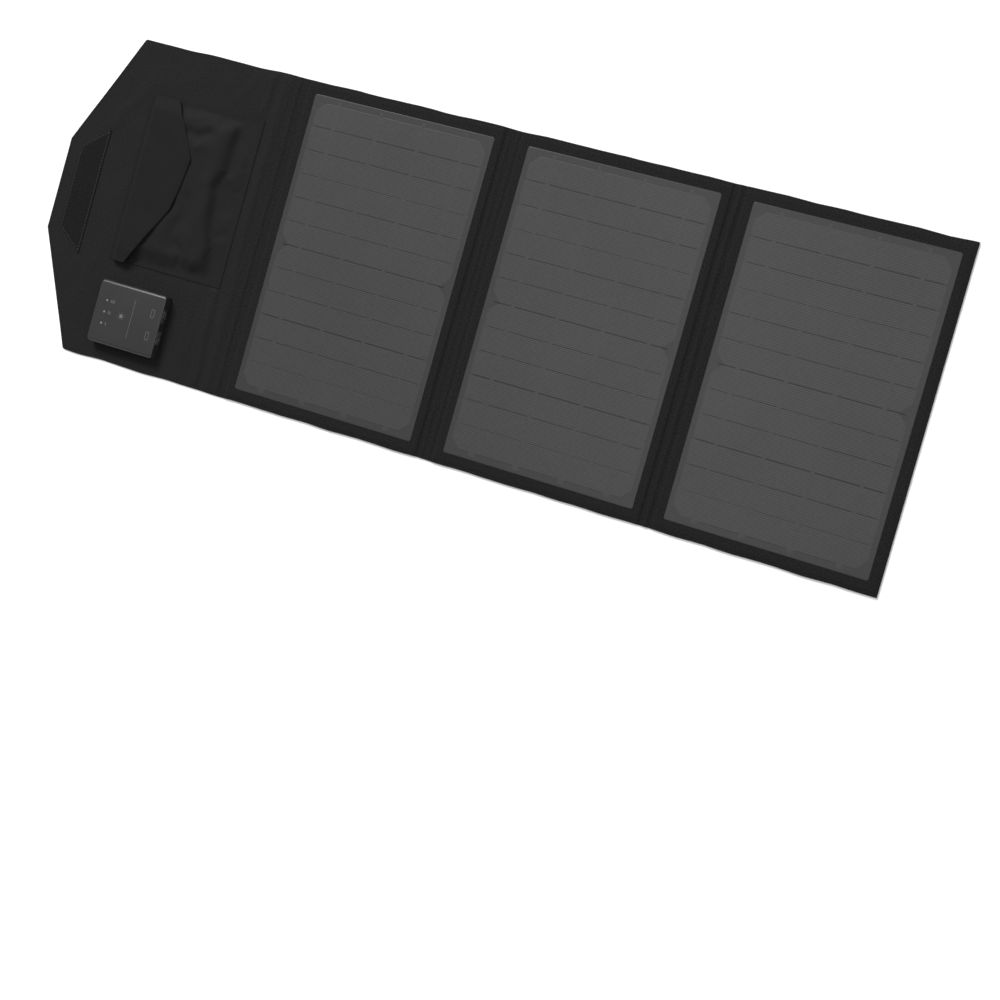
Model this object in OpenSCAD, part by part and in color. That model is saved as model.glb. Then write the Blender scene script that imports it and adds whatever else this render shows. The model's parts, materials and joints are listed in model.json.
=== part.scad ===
// Folding camping solar panel. Three stiffened panels sit in one fabric cover and roll up
// face to face; a closing flap with a pocket and a USB regulator box folds over them and
// sticks down with hook tape. It is modelled open, lying flat, cell side up.
// X runs along the row of panels with the flap at the low end, Y across it, Z up.
// The origin is on the ground under the middle of the row.

/* [Panels] */
// Width of one laminate, along the row
lam_w = 166; // [160:1:172]
// Height of one laminate, across the row
lam_h = 262; // [250:1:270]
// Fabric border from a laminate to the edge of its panel
border = 9.6; // [8:0.1:12]
// The same border at the end of the row, which folds in beside the first web
end_border = 9.7; // [9:0.1:9.8]
// The same border beside the flap, which makes room for the rolled panels
flap_border = 11.3; // [10.5:0.1:13]
// Fabric border across the row, above and below each laminate
side_border = 11; // [9:0.5:14]

/* [Layers] */
// Back cover fabric
cover_t = 0.5; // [0.4:0.05:0.6]
// Stiffening board
board_t = 1.2; // [1:0.1:1.3]
// Whole panel, at the laminate's face
panel_t = 3; // [2.9:0.05:3]
// Whole panel, at the fabric border
border_t = 2.7; // [2.5:0.1:2.8]
// One of the flap's two fabric layers
ply_t = 0.6; // [0.5:0.05:0.65]

/* [Folds] */
// Fabric web between panels 1 and 2, fold line to fold line
web_12_w = 9.1; // [9:0.1:10]
// Fabric web between panels 2 and 3
web_23_w = 5.3; // [5.2:0.1:5.6]
// Fabric spine between panel 1 and the flap
spine_w = 26; // [25.5:0.5:30]
// Gap from a fold line to the stiff edge beside it
seam = 0.9; // [0.8:0.05:1]

/* [Flap] */
// From the spine to the bend past the regulator box
main_l = 108.8; // [106:0.1:112]
// From that bend to the bend before the hook tape
slope_l = 30; // [28:1:32]
// From that bend to the tip
tip_l = 41.4; // [38:0.2:44]
// Length of the slanted corners along the row
corner_l = 46.8; // [44:0.2:52]
// Straight edge at the tip
tip_w = 82; // [60:1:90]

/* [Pocket] */
// Height of the pocket across the flap
pocket_h = 150; // [130:1:150]
// How far the pocket stands up from the flap
pocket_t = 5.8; // [5.6:0.1:6]
// Distance of the pocket's middle from the flap's middle
pocket_y = 22.6; // [20:0.2:24]

/* [Regulator box] */
// Size along the row
box_l = 65; // [60:1:66]
// Size across the row
box_w = 56; // [50:1:58]
// Height above the flap
box_h = 11; // [10.8:0.1:11]
// Distance of its middle from the flap's middle
box_y = -99; // [-105:1:-95]

/* [Hidden] */

$fn = 48;
eps = 0.01;

// Places along the row, from the tip of the flap to the end of panel 3.
web_t = 2 * ply_t;
fold_z = ply_t;
row_l = tip_l + slope_l + main_l + spine_w + flap_border + 3 * lam_w + 4 * border + end_border
    + web_12_w + web_23_w + 5 * seam;
tip_x = -row_l / 2;
tip_bend_x = tip_x + tip_l;
slope_bend_x = tip_bend_x + slope_l;
main_fold_x = slope_bend_x + main_l;
spine_fold_x = main_fold_x + spine_w;
fold_12a_x = spine_fold_x + seam + flap_border + lam_w + border + seam;
fold_12b_x = fold_12a_x + web_12_w;
fold_23a_x = fold_12b_x + seam + border + lam_w + border + seam;
fold_23b_x = fold_23a_x + web_23_w;
end_x = fold_23b_x + seam + border + lam_w + end_border;
half_y = lam_h / 2 + side_border;

// Low and high edge of each panel, and the low edge of its laminate.
panel_lo = [spine_fold_x + seam, fold_12b_x + seam, fold_23b_x + seam];
panel_hi = [fold_12a_x - seam, fold_23a_x - seam, end_x];
lam_lo = [panel_lo[0] + flap_border, panel_lo[1] + border, panel_lo[2] + border];

// Heights of a panel's layers.
board_z = cover_t + board_t;
backsheet_t = 0.3;
cell_z = board_z + backsheet_t;
cell_t = 0.25;
ribbon_t = 0.1;
film_z = cell_z + 0.4;
seal_w = 1.6;
board_lip = 6;
corner_r = 3;

// Solar cells: two groups of six strips. A strip is as wide as a wafer, and the outer
// strips of a group have a wafer's clipped corners.
strip_groups = 2;
strips = 6;
cell_w = 157;
strip_pitch = 20.8;
strip_gap = 0.6;
clipped = 8.5;
ribbons = 4;
ribbon_w = 1.4;
bus_w = 3.6;
string_h = strip_groups * strips * strip_pitch;

// Flat leads from the panels to the box.
lead_w = 4;
lead_t = 0.35;
lead_slack = 0.1;
lead_y = [box_y - 5, box_y + 5];

// Tapes, and where the hook tape lands once the flap is folded over panel 2.
tape_t = 1.4;
hook_lo = tip_x + 12.4;
hook_w = 25;
hook_short = 74;
hook_long = 114;
slope_turn = 18.8;
reach = main_l + slope_l * cos(slope_turn) + tip_bend_x - hook_lo - hook_w / 2;
loop_x = fold_12b_x + fold_12a_x - spine_fold_x - reach;
loop_l = 40;
loop_w = 124;

// Pocket.
pocket_lo = slope_bend_x + 5.5;
pocket_hi = main_fold_x - 1.3;
sheet_t = 0.7;
hem = 4;
puff_run = 12;
riser_x = pocket_lo - 3;
riser_t = 1;
riser_z = web_t + riser_t / 2 + 0.3;
flap_z = web_t + pocket_t + riser_t / 2 + 0.4;
flap_long = 49;
flap_short = 22;
flap_w = pocket_h;
flap_y = pocket_y - 1;
flap_point_w = 48;

// Regulator box.
box_lo = slope_bend_x + 2;
box_x = box_lo + box_l / 2;
box_z = web_t;
box_top = box_z + box_h;
base_h = 3.8;
box_wall = 1.5;
box_r = 3;
post_x = box_l / 2 - 5;
post_y = box_w / 2 - 5;
screw_r = 1.25;
screw_slack = 0.05;
pcb_z = box_z + 2.2;
pcb_t = 1.6;
pcb_top = pcb_z + pcb_t;
pcb_gap = 0.6;

// Standard A sockets for USB plugs.
usb_y = [-10, 10];
usb_w = 13.1;
usb_h = 5.7;
usb_depth = 14.6;
usb_wall = 0.3;
tongue_l = 8.9;
tongue_w = 11.1;
tongue_t = 1.8;

// Indicators, in a row near the edge that faces the tip.
led_x = -box_l / 2 + 10;
led_y = [-10.2, 0, 10.2];
pipe_r = 0.9;

function flap_half_y(x) = x > tip_x + corner_l ? half_y
    : tip_w / 2 + (half_y - tip_w / 2) * (x - tip_x) / corner_l;

// A slab with its low corner at the given place.
module slab(x0, x1, y0, y1, z0, z1) {
    translate([x0, y0, z0]) cube([x1 - x0, y1 - y0, z1 - z0]);
}

// A rectangle with round corners, made from squares and circles.
module round_rect(x0, x1, y0, y1, r) {
    translate([x0 + r, y0]) square([x1 - x0 - 2 * r, y1 - y0]);
    translate([x0, y0 + r]) square([x1 - x0, y1 - y0 - 2 * r]);
    for (x = [x0 + r, x1 - r], y = [y0 + r, y1 - r]) translate([x, y]) circle(r);
}

module round_slab(x0, x1, y0, y1, z0, z1, r) {
    translate([0, 0, z0]) linear_extrude(z1 - z0) round_rect(x0, x1, y0, y1, r);
}

// A round bar across the row, centred on a fold line.
module fold_bead(x, z, r, half) {
    translate([x, half, z]) rotate([90, 0, 0]) cylinder(h = 2 * half, r = r);
}

// The channels that the flat leads lie in.
module lead_channels(x0, x1, z) {
    for (y = lead_y)
        slab(x0, x1, y - lead_w / 2 - lead_slack, y + lead_w / 2 + lead_slack,
            z - eps, z + lead_t + lead_slack);
}

module leads(x0, x1, z) {
    color("peru")
        for (y = lead_y) slab(x0, x1, y - lead_w / 2, y + lead_w / 2, z, z + lead_t);
}

// ---- One panel, bottom to top ----

module back_cover(i) {
    color([0.16, 0.16, 0.17]) difference() {
        slab(panel_lo[i], panel_hi[i], -half_y, half_y, 0, cover_t);
        if (i == 1)
            slab(loop_x - loop_l / 2, loop_x + loop_l / 2, -loop_w / 2, loop_w / 2,
                -eps, cover_t + eps);
    }
}

module board_shape(i, z0, z1) {
    round_slab(lam_lo[i] - board_lip, lam_lo[i] + lam_w + board_lip,
        -lam_h / 2 - board_lip, lam_h / 2 + board_lip, z0, z1, corner_r);
}

module stiffener_board(i) {
    color([0.3, 0.3, 0.31]) difference() {
        board_shape(i, cover_t, board_z);
        lead_channels(panel_lo[i], panel_hi[i], cover_t);
    }
}

module backsheet(i) {
    color([0.1, 0.1, 0.11])
        round_slab(lam_lo[i], lam_lo[i] + lam_w, -lam_h / 2, lam_h / 2,
            board_z, cell_z, corner_r);
}

// One strip; the clipped corners are on the side that side names, 1 or -1, or on none.
module strip(side) {
    h = strip_pitch - strip_gap;
    c = clipped;
    low = side < 0 ? c : 0;
    high = side > 0 ? c : 0;
    linear_extrude(cell_t) polygon([
        [-cell_w / 2 + low, -h / 2], [cell_w / 2 - low, -h / 2],
        [cell_w / 2, -h / 2 + low], [cell_w / 2, h / 2 - high],
        [cell_w / 2 - high, h / 2], [-cell_w / 2 + high, h / 2],
        [-cell_w / 2, h / 2 - high], [-cell_w / 2, -h / 2 + low]]);
}

module solar_cells(i) {
    color([0.17, 0.18, 0.2])
        for (w = [0:strip_groups - 1], k = [0:strips - 1])
            translate([lam_lo[i] + lam_w / 2,
                (w * strips + k + 0.5) * strip_pitch - string_h / 2, cell_z])
                strip(k == 0 ? -1 : k == strips - 1 ? 1 : 0);
}

module tab_ribbons(i) {
    color("silver")
        for (k = [0:ribbons - 1])
            translate([lam_lo[i] + lam_w / 2 + (k - (ribbons - 1) / 2) * cell_w / ribbons,
                0, cell_z + cell_t])
                translate([-ribbon_w / 2, -string_h / 2 - bus_w, 0])
                    cube([ribbon_w, string_h + 2 * bus_w, ribbon_t]);
}

module bus_bars(i) {
    color("silver")
        for (s = [-1, 1])
            translate([lam_lo[i] + lam_w / 2, s * (string_h + bus_w) / 2, cell_z])
                translate([-cell_w / 2 + clipped, -bus_w / 2, 0])
                    cube([cell_w - 2 * clipped, bus_w, cell_t]);
}

module front_film(i) {
    color([0.3, 0.3, 0.31])
        round_slab(lam_lo[i], lam_lo[i] + lam_w, -lam_h / 2, lam_h / 2,
            film_z, panel_t, corner_r);
}

// Four strips of glue between the backsheet and the film, which seal the cells in.
module edge_seal(i) {
    lo = lam_lo[i];
    hi = lam_lo[i] + lam_w;
    color([0.25, 0.25, 0.26]) {
        for (x = [lo, hi - seal_w])
            slab(x, x + seal_w, -lam_h / 2 + corner_r, lam_h / 2 - corner_r, cell_z, film_z);
        for (y = [-lam_h / 2, lam_h / 2 - seal_w])
            slab(lo + corner_r, hi - corner_r, y, y + seal_w, cell_z, film_z);
    }
}

// Four strips of border fabric: over the board's lip and down to the back cover.
module border_fabric(i) {
    lam_hi = lam_lo[i] + lam_w;
    rows = [[panel_lo[i], panel_hi[i], -half_y, -lam_h / 2],
        [panel_lo[i], panel_hi[i], lam_h / 2, half_y],
        [panel_lo[i], lam_lo[i], -lam_h / 2, lam_h / 2],
        [lam_hi, panel_hi[i], -lam_h / 2, lam_h / 2]];
    color([0.15, 0.15, 0.16])
        for (s = rows) difference() {
            slab(s[0], s[1], s[2], s[3], cover_t, border_t);
            board_shape(i, cover_t - eps, board_z);
            lead_channels(panel_lo[i] - eps, panel_hi[i] + eps, cover_t);
        }
}

module panel_leads(i) {
    far = i == 2 ? lam_lo[i] + lam_w / 2 : panel_hi[i];
    leads(panel_lo[i] + 0.2, far - 0.2, cover_t);
}

// ---- Fabric webs, with a round edge on each fold line ----

module web(x0, x1) {
    color([0.14, 0.14, 0.15]) difference() {
        union() {
            slab(x0, x1, -half_y, half_y, 0, web_t);
            for (x = [x0, x1]) fold_bead(x, fold_z, ply_t, half_y);
        }
        lead_channels(x0 + 0.7, x1 - 0.7, fold_z + 0.1);
    }
}

module web_leads(x0, x1) {
    leads(x0 + 0.8, x1 - 0.8, fold_z + 0.1);
}

// ---- Flap ----

module flap_outline() {
    polygon([[tip_x, -tip_w / 2], [tip_x + corner_l, -half_y], [main_fold_x, -half_y],
        [main_fold_x, half_y], [tip_x + corner_l, half_y], [tip_x, tip_w / 2]]);
}

// One ply of the flap between two places along the row.
module ply(x0, x1, z) {
    intersection() {
        translate([0, 0, z]) linear_extrude(ply_t) flap_outline();
        slab(x0, x1, -half_y, half_y, z, z + ply_t);
    }
}

// The holes in the lining under the box, for the screws and the lead pins.
module lining_holes() {
    for (x = [-post_x, post_x], y = [-post_y, post_y])
        translate([box_x + x, box_y + y, 0]) {
            translate([0, 0, ply_t - eps]) cylinder(h = 0.35, r = 2.6);
            translate([0, 0, ply_t]) cylinder(h = ply_t + eps, r = screw_r + 0.1);
        }
    for (y = lead_y)
        translate([box_lo + box_l - 6, y, ply_t]) cylinder(h = ply_t + eps, r = 0.7);
}

// The round nose of an outer ply, below the height of the fold line that it turns on.
module ply_nose(x, half) {
    intersection() {
        fold_bead(x, fold_z, ply_t, half);
        slab(x - ply_t, x + ply_t, -half, half, 0, ply_t);
    }
}

module flap_main_outer() {
    color([0.16, 0.16, 0.17]) {
        ply(slope_bend_x, main_fold_x - seam, 0);
        ply_nose(slope_bend_x, half_y);
    }
}

module flap_main_lining() {
    color([0.15, 0.15, 0.16]) difference() {
        ply(slope_bend_x + seam, main_fold_x - seam, ply_t);
        lead_channels(box_lo + box_l - 9, main_fold_x, ply_t);
        lining_holes();
    }
}

module flap_slope_outer() {
    color([0.16, 0.16, 0.17]) {
        ply(tip_bend_x, slope_bend_x - seam, 0);
        ply_nose(tip_bend_x, flap_half_y(tip_bend_x - ply_t));
    }
}

module flap_slope_lining() {
    color([0.15, 0.15, 0.16]) ply(tip_bend_x + seam, slope_bend_x - seam, ply_t);
}

module flap_tip_outer() {
    color([0.16, 0.16, 0.17]) ply(tip_x, tip_bend_x - seam, 0);
}

module flap_tip_lining() {
    color([0.15, 0.15, 0.16]) ply(tip_x, tip_bend_x - seam, ply_t);
}

module flap_leads() {
    leads(box_lo + box_l - 8, main_fold_x - seam - 0.2, ply_t);
}

module hook_tape() {
    hi = hook_lo + hook_w;
    color([0.08, 0.08, 0.09]) translate([0, 0, web_t]) linear_extrude(tape_t)
        polygon([[hook_lo, -hook_short / 2], [hi, -hook_long / 2],
            [hi, hook_long / 2], [hook_lo, hook_short / 2]]);
}

module loop_tape() {
    color([0.1, 0.1, 0.11])
        slab(loop_x - loop_l / 2 + 0.1, loop_x + loop_l / 2 - 0.1,
            -loop_w / 2 + 0.1, loop_w / 2 - 0.1, 0, cover_t);
}

// ---- Pocket ----

// The pocket's form: in by in from its outline and t lower than its top.
module pocket_form(in, t, mouth) {
    top = web_t + pocket_t - t;
    foot = t > 0 ? 0 : sheet_t;
    y1 = pocket_h / 2 - in;
    x1 = pocket_hi - in;
    x0 = pocket_lo - mouth;
    edge = t > 0 ? 0 : hem;
    intersection() {
        translate([x0, pocket_y, 0]) rotate([90, 0, 90]) linear_extrude(x1 - x0)
            polygon([[-y1, web_t], [y1, web_t], [y1, web_t + foot], [y1 - edge, web_t + foot],
                [y1 - edge - puff_run, top], [-y1 + edge + puff_run, top],
                [-y1 + edge, web_t + foot], [-y1, web_t + foot]]);
        translate([0, pocket_y + y1, 0]) rotate([90, 0, 0]) linear_extrude(2 * y1)
            polygon([[x0, web_t], [x1, web_t], [x1, web_t + foot], [x1 - edge, web_t + foot],
                [x1 - edge - puff_run, top], [x0, top]]);
    }
}

module pocket_front() {
    color([0.2, 0.2, 0.21]) difference() {
        pocket_form(0, 0, 0);
        translate([0, 0, -eps]) pocket_form(hem + 1, sheet_t, 1);
    }
}

// The closing flap of the pocket stands up on a short riser and lies over the mouth.
module pocket_flap_riser() {
    color([0.16, 0.16, 0.17]) {
        slab(riser_x - riser_t / 2, riser_x + riser_t / 2,
            flap_y - flap_w / 2, flap_y + flap_w / 2, riser_z, flap_z - seam);
        translate([0, flap_y, 0]) fold_bead(riser_x, riser_z, riser_t / 2, flap_w / 2);
    }
}

module pocket_flap() {
    x0 = riser_x;
    h = flap_w / 2;
    p = flap_point_w / 2;
    color([0.18, 0.18, 0.19]) {
        translate([0, flap_y, flap_z - riser_t / 2]) linear_extrude(riser_t)
            polygon([[x0, -h], [x0 + flap_short, -h], [x0 + flap_long, -p],
                [x0 + flap_long, p], [x0 + flap_short, h], [x0, h]]);
        translate([0, flap_y, 0]) fold_bead(x0, flap_z, riser_t / 2, h);
    }
}

// ---- Regulator box ----

// Box outline, in by in, with the long top edges rounded.
module box_form(in, z0, z1) {
    w = box_w / 2 - in;
    r = max(box_r - in, 0.5);
    translate([box_lo + in, box_y, 0]) rotate([90, 0, 90]) linear_extrude(box_l - 2 * in) {
        translate([-w, z0]) square([2 * w, z1 - z0 - r]);
        translate([-w + r, z0]) square([2 * w - 2 * r, z1 - z0]);
        for (y = [-w + r, w - r]) translate([y, z1 - r]) circle(r);
    }
}

module at_posts() {
    for (x = [-post_x, post_x], y = [-post_y, post_y])
        translate([box_x + x, box_y + y, 0]) children();
}

module usb_mouths(extra) {
    for (y = usb_y)
        slab(box_lo + box_l - usb_depth - extra, box_lo + box_l + 1,
            box_y + y - usb_w / 2 - extra, box_y + y + usb_w / 2 + extra,
            pcb_top - extra, pcb_top + usb_h + extra);
}

module box_base() {
    top = box_z + base_h;
    floor_t = 1.2;
    color([0.2, 0.2, 0.21]) difference() {
        union() {
            difference() {
                slab(box_lo, box_lo + box_l, box_y - box_w / 2, box_y + box_w / 2, box_z, top);
                slab(box_lo + box_wall, box_lo + box_l - box_wall, box_y - box_w / 2 + box_wall,
                    box_y + box_w / 2 - box_wall, box_z + floor_t, top + eps);
            }
            at_posts() translate([0, 0, box_z]) cylinder(h = pcb_z - box_z, r = 3);
        }
        at_posts() translate([0, 0, box_z - eps])
            cylinder(h = base_h, r = screw_r + 0.1);
        for (y = lead_y) translate([box_lo + box_l - 6, y, box_z - eps])
            cylinder(h = base_h, r = 0.7);
        usb_mouths(0.1);
    }
}

module box_cover() {
    low = box_z + base_h;
    color([0.24, 0.24, 0.25]) difference() {
        union() {
            difference() {
                box_form(0, low, box_top);
                box_form(box_wall, low - eps, box_top - box_wall + 0.1);
            }
            at_posts() translate([0, 0, pcb_top]) cylinder(h = box_top - pcb_top - 1, r = 2.6);
        }
        at_posts() translate([0, 0, pcb_top - eps])
            cylinder(h = box_top - pcb_top - 2, r = screw_r + screw_slack);
        usb_mouths(0.1);
        for (y = led_y) translate([box_x + led_x, box_y + y, low])
            cylinder(h = box_h, r = pipe_r + screw_slack);
    }
}

module circuit_board() {
    color("darkgreen") difference() {
        slab(box_lo + box_wall + pcb_gap, box_lo + box_l - box_wall - pcb_gap,
            box_y - box_w / 2 + box_wall + pcb_gap, box_y + box_w / 2 - box_wall - pcb_gap,
            pcb_z, pcb_top);
        at_posts() translate([0, 0, pcb_z - eps]) cylinder(h = pcb_t + 1, r = screw_r + 0.1);
    }
}

module usb_shells() {
    front = box_lo + box_l + 0.2;
    color("silver")
        for (y = usb_y) difference() {
            slab(front - usb_depth, front, box_y + y - usb_w / 2, box_y + y + usb_w / 2,
                pcb_top, pcb_top + usb_h);
            slab(front - usb_depth + usb_wall, front + 1,
                box_y + y - usb_w / 2 + usb_wall, box_y + y + usb_w / 2 - usb_wall,
                pcb_top + usb_wall, pcb_top + usb_h - usb_wall);
        }
}

module usb_tongues() {
    back = box_lo + box_l + 0.2 - usb_depth + usb_wall;
    high = pcb_top + usb_h - usb_wall - 0.6;
    color("whitesmoke")
        for (y = usb_y) {
            slab(back, back + 1, box_y + y - tongue_w / 2, box_y + y + tongue_w / 2,
                pcb_top + usb_wall, pcb_top + usb_h - usb_wall);
            slab(back + 1 - eps, back + 1 + tongue_l, box_y + y - tongue_w / 2,
                box_y + y + tongue_w / 2, high - tongue_t, high);
        }
}

module inductor() {
    color([0.25, 0.25, 0.26]) translate([box_x + 2, box_y + 15, pcb_top]) {
        round_slab(-5, 5, -5, 5, 0, 0.8, 1.5);
        cylinder(h = 4.4, r = 4.6);
    }
}

module capacitors() {
    color("silver")
        for (p = [[0, -16], [0, -4]]) translate([box_x + p[0], box_y + p[1], pcb_top]) {
            cylinder(h = 5.4, r = 3.15);
        }
}

// Converter, charge controllers and the blocking diode.
module chips() {
    color([0.12, 0.12, 0.13])
        for (c = [[-13, 14, 7, 5, 1.4], [-13, -4, 5, 4, 1.4], [-13, -15, 5, 4, 1.4],
            [-11, 5, 7, 6, 2.3]])
            translate([box_x + c[0] - c[2] / 2, box_y + c[1] - c[3] / 2, pcb_top])
                cube([c[2], c[3], c[4]]);
}

module indicator_leds() {
    color("honeydew")
        for (y = led_y) translate([box_x + led_x - 0.8, box_y + y - 0.6, pcb_top])
            cube([1.6, 1.2, 0.8]);
}

module light_pipes() {
    color("white")
        for (y = led_y) translate([box_x + led_x, box_y + y, pcb_top + 1])
            cylinder(h = box_top + 0.1 - pcb_top - 1, r = pipe_r);
}

// The screws come up through the lining, the base and the board into the cover.
module box_screws() {
    color("dimgray")
        at_posts() {
            translate([0, 0, ply_t]) cylinder(h = 0.3, r = 2.5);
            translate([0, 0, ply_t + 0.2]) cylinder(h = box_top - ply_t - 3.2, r = screw_r);
        }
}

module lead_pins() {
    color("gold")
        for (y = lead_y) translate([box_lo + box_l - 6, y, ply_t + lead_t])
            cylinder(h = pcb_z - ply_t - lead_t, r = 0.6);
}

back_cover(0);  // back_cover_1
back_cover(1);  // back_cover_2
back_cover(2);  // back_cover_3
stiffener_board(0);  // stiffener_board_1
stiffener_board(1);  // stiffener_board_2
stiffener_board(2);  // stiffener_board_3
backsheet(0);  // backsheet_1
backsheet(1);  // backsheet_2
backsheet(2);  // backsheet_3
solar_cells(0);  // solar_cells_1
solar_cells(1);  // solar_cells_2
solar_cells(2);  // solar_cells_3
tab_ribbons(0);  // tab_ribbons_1
tab_ribbons(1);  // tab_ribbons_2
tab_ribbons(2);  // tab_ribbons_3
bus_bars(0);  // bus_bars_1
bus_bars(1);  // bus_bars_2
bus_bars(2);  // bus_bars_3
edge_seal(0);  // edge_seal_1
edge_seal(1);  // edge_seal_2
edge_seal(2);  // edge_seal_3
front_film(0);  // front_film_1
front_film(1);  // front_film_2
front_film(2);  // front_film_3
border_fabric(0);  // border_fabric_1
border_fabric(1);  // border_fabric_2
border_fabric(2);  // border_fabric_3
panel_leads(0);  // panel_leads_1
panel_leads(1);  // panel_leads_2
panel_leads(2);  // panel_leads_3
web(fold_12a_x, fold_12b_x);  // fold_web_12
web(fold_23a_x, fold_23b_x);  // fold_web_23
web(main_fold_x, spine_fold_x);  // flap_spine
web_leads(fold_12a_x, fold_12b_x);  // web_leads_12
web_leads(fold_23a_x, fold_23b_x);  // web_leads_23
web_leads(main_fold_x, spine_fold_x);  // spine_leads
flap_main_outer();
flap_main_lining();
flap_slope_outer();
flap_slope_lining();
flap_tip_outer();
flap_tip_lining();
flap_leads();
hook_tape();
loop_tape();
pocket_front();
pocket_flap_riser();
pocket_flap();
box_base();
box_cover();
circuit_board();
usb_shells();
usb_tongues();
inductor();
capacitors();
chips();
indicator_leds();
light_pipes();
box_screws();
lead_pins();
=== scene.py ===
import json
import math

import bpy
import numpy as np
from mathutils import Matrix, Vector


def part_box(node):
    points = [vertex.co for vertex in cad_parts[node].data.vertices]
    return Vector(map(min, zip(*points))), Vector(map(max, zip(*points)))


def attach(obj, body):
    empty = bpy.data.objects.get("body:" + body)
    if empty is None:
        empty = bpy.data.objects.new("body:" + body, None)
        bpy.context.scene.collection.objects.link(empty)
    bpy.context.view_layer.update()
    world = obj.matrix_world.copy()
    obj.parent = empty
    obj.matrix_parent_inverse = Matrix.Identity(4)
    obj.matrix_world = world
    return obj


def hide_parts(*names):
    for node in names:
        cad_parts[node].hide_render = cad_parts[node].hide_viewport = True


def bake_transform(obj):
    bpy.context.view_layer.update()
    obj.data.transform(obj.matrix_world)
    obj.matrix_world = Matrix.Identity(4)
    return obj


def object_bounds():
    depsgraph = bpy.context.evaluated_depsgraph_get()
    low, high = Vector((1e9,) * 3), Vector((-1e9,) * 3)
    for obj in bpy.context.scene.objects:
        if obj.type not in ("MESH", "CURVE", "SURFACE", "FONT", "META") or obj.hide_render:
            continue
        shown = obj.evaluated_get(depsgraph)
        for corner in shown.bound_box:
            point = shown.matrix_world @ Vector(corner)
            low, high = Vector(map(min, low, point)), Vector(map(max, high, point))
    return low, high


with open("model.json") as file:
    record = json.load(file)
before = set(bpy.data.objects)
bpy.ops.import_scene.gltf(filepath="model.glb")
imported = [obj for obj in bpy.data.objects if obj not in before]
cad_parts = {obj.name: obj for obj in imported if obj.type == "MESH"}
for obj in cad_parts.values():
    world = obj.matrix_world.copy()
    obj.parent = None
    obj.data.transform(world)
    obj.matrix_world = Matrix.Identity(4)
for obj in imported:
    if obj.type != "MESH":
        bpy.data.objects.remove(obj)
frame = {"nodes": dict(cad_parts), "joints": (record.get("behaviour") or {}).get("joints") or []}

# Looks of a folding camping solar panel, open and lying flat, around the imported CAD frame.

CAD_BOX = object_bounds()
MM = 1000.0
TAU = 2 * math.pi


# ---- Places, from the frame ----

def box_mm(node):
    low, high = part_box(node)
    return np.array(low) * MM, np.array(high) * MM


JOINT = {j["name"]: np.array(j["pos_m"]) * MM for j in frame["joints"]}
SPINE_X = JOINT["flap_fold"][0]
MAIN_X = JOINT["flap_turn"][0]
SLOPE_X = JOINT["flap_tip_bend"][0]
TIP_BEND_X = JOINT["flap_tip_level"][0]
WEBS = [(JOINT["panel_2_fold"][0], JOINT["panel_2_turn"][0]),
        (JOINT["panel_3_fold"][0], JOINT["panel_3_turn"][0])]
RISER_X, RISER_Z = JOINT["pocket_flap_open"][0], JOINT["pocket_flap_open"][2]
PLATE_Z = JOINT["pocket_flap_turn"][2]

BLOCKS = [box_mm(f"border_fabric_{i}") for i in (1, 2, 3)]
LAMINATES = [box_mm(f"front_film_{i}") for i in (1, 2, 3)]
HALF_Y = BLOCKS[0][1][1]
LAM_HALF_Y = LAMINATES[0][1][1]
TIP_X = box_mm("flap_tip_outer")[0][0]
END_X = BLOCKS[2][1][0]
# The flap narrows over its last stretch, to a straight tip.
CORNER_L, TIP_HALF = 46.8, 41.0
SHOULDER_X = TIP_X + CORNER_L
FLAP_T = box_mm("flap_main_lining")[1][2]
BORDER_T = BLOCKS[0][1][2]
FACE_Z = LAMINATES[0][1][2]
COVER_T = box_mm("back_cover_1")[1][2]
POCKET_LOW, POCKET_HIGH = box_mm("pocket_front")
BOX_LOW, BOX_HIGH = box_mm("box_base")[0], box_mm("box_cover")[1]
SPLIT_Z = box_mm("box_cover")[0][2]
LOOP_LOW, LOOP_HIGH = box_mm("loop_tape")
HOOK_LOW, HOOK_HIGH = box_mm("hook_tape")
PIPES_LOW, PIPES_HIGH = box_mm("light_pipes")


# ---- Small tools ----

def smooth(a, b, x):
    t = np.clip((x - a) / (b - a), 0, 1)
    return t * t * (3 - 2 * t)


def bump(x, centre, width):
    return np.exp(-((x - centre) / width) ** 2)


def ripple(x, y, length, seed, waves=7):
    """Smooth noise of about unit height, from a few seeded waves of about that length."""
    rng = np.random.default_rng(seed)
    total = 0
    for _ in range(waves):
        angle, phase = rng.uniform(0, TAU, 2)
        k = TAU / (length * rng.uniform(0.7, 1.5))
        total = total + np.sin(k * (x * math.cos(angle) + y * math.sin(angle)) + phase)
    return total / math.sqrt(waves)


def crease(x, y, line):
    """One soft ridge or valley along a straight line: (x0, y0, x1, y1, width, height)."""
    x0, y0, x1, y1, width, height = line
    dx, dy = x1 - x0, y1 - y0
    length = math.hypot(dx, dy)
    t = ((x - x0) * dx + (y - y0) * dy) / length**2
    side = ((x - x0) * dy - (y - y0) * dx) / length
    wander = 0.35 * width * np.sin(t * 9 + x0)
    ends = smooth(-0.12, 0.12, t) * (1 - smooth(0.88, 1.12, t))
    return height * np.exp(-((side - wander) / width) ** 2) * ends


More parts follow.
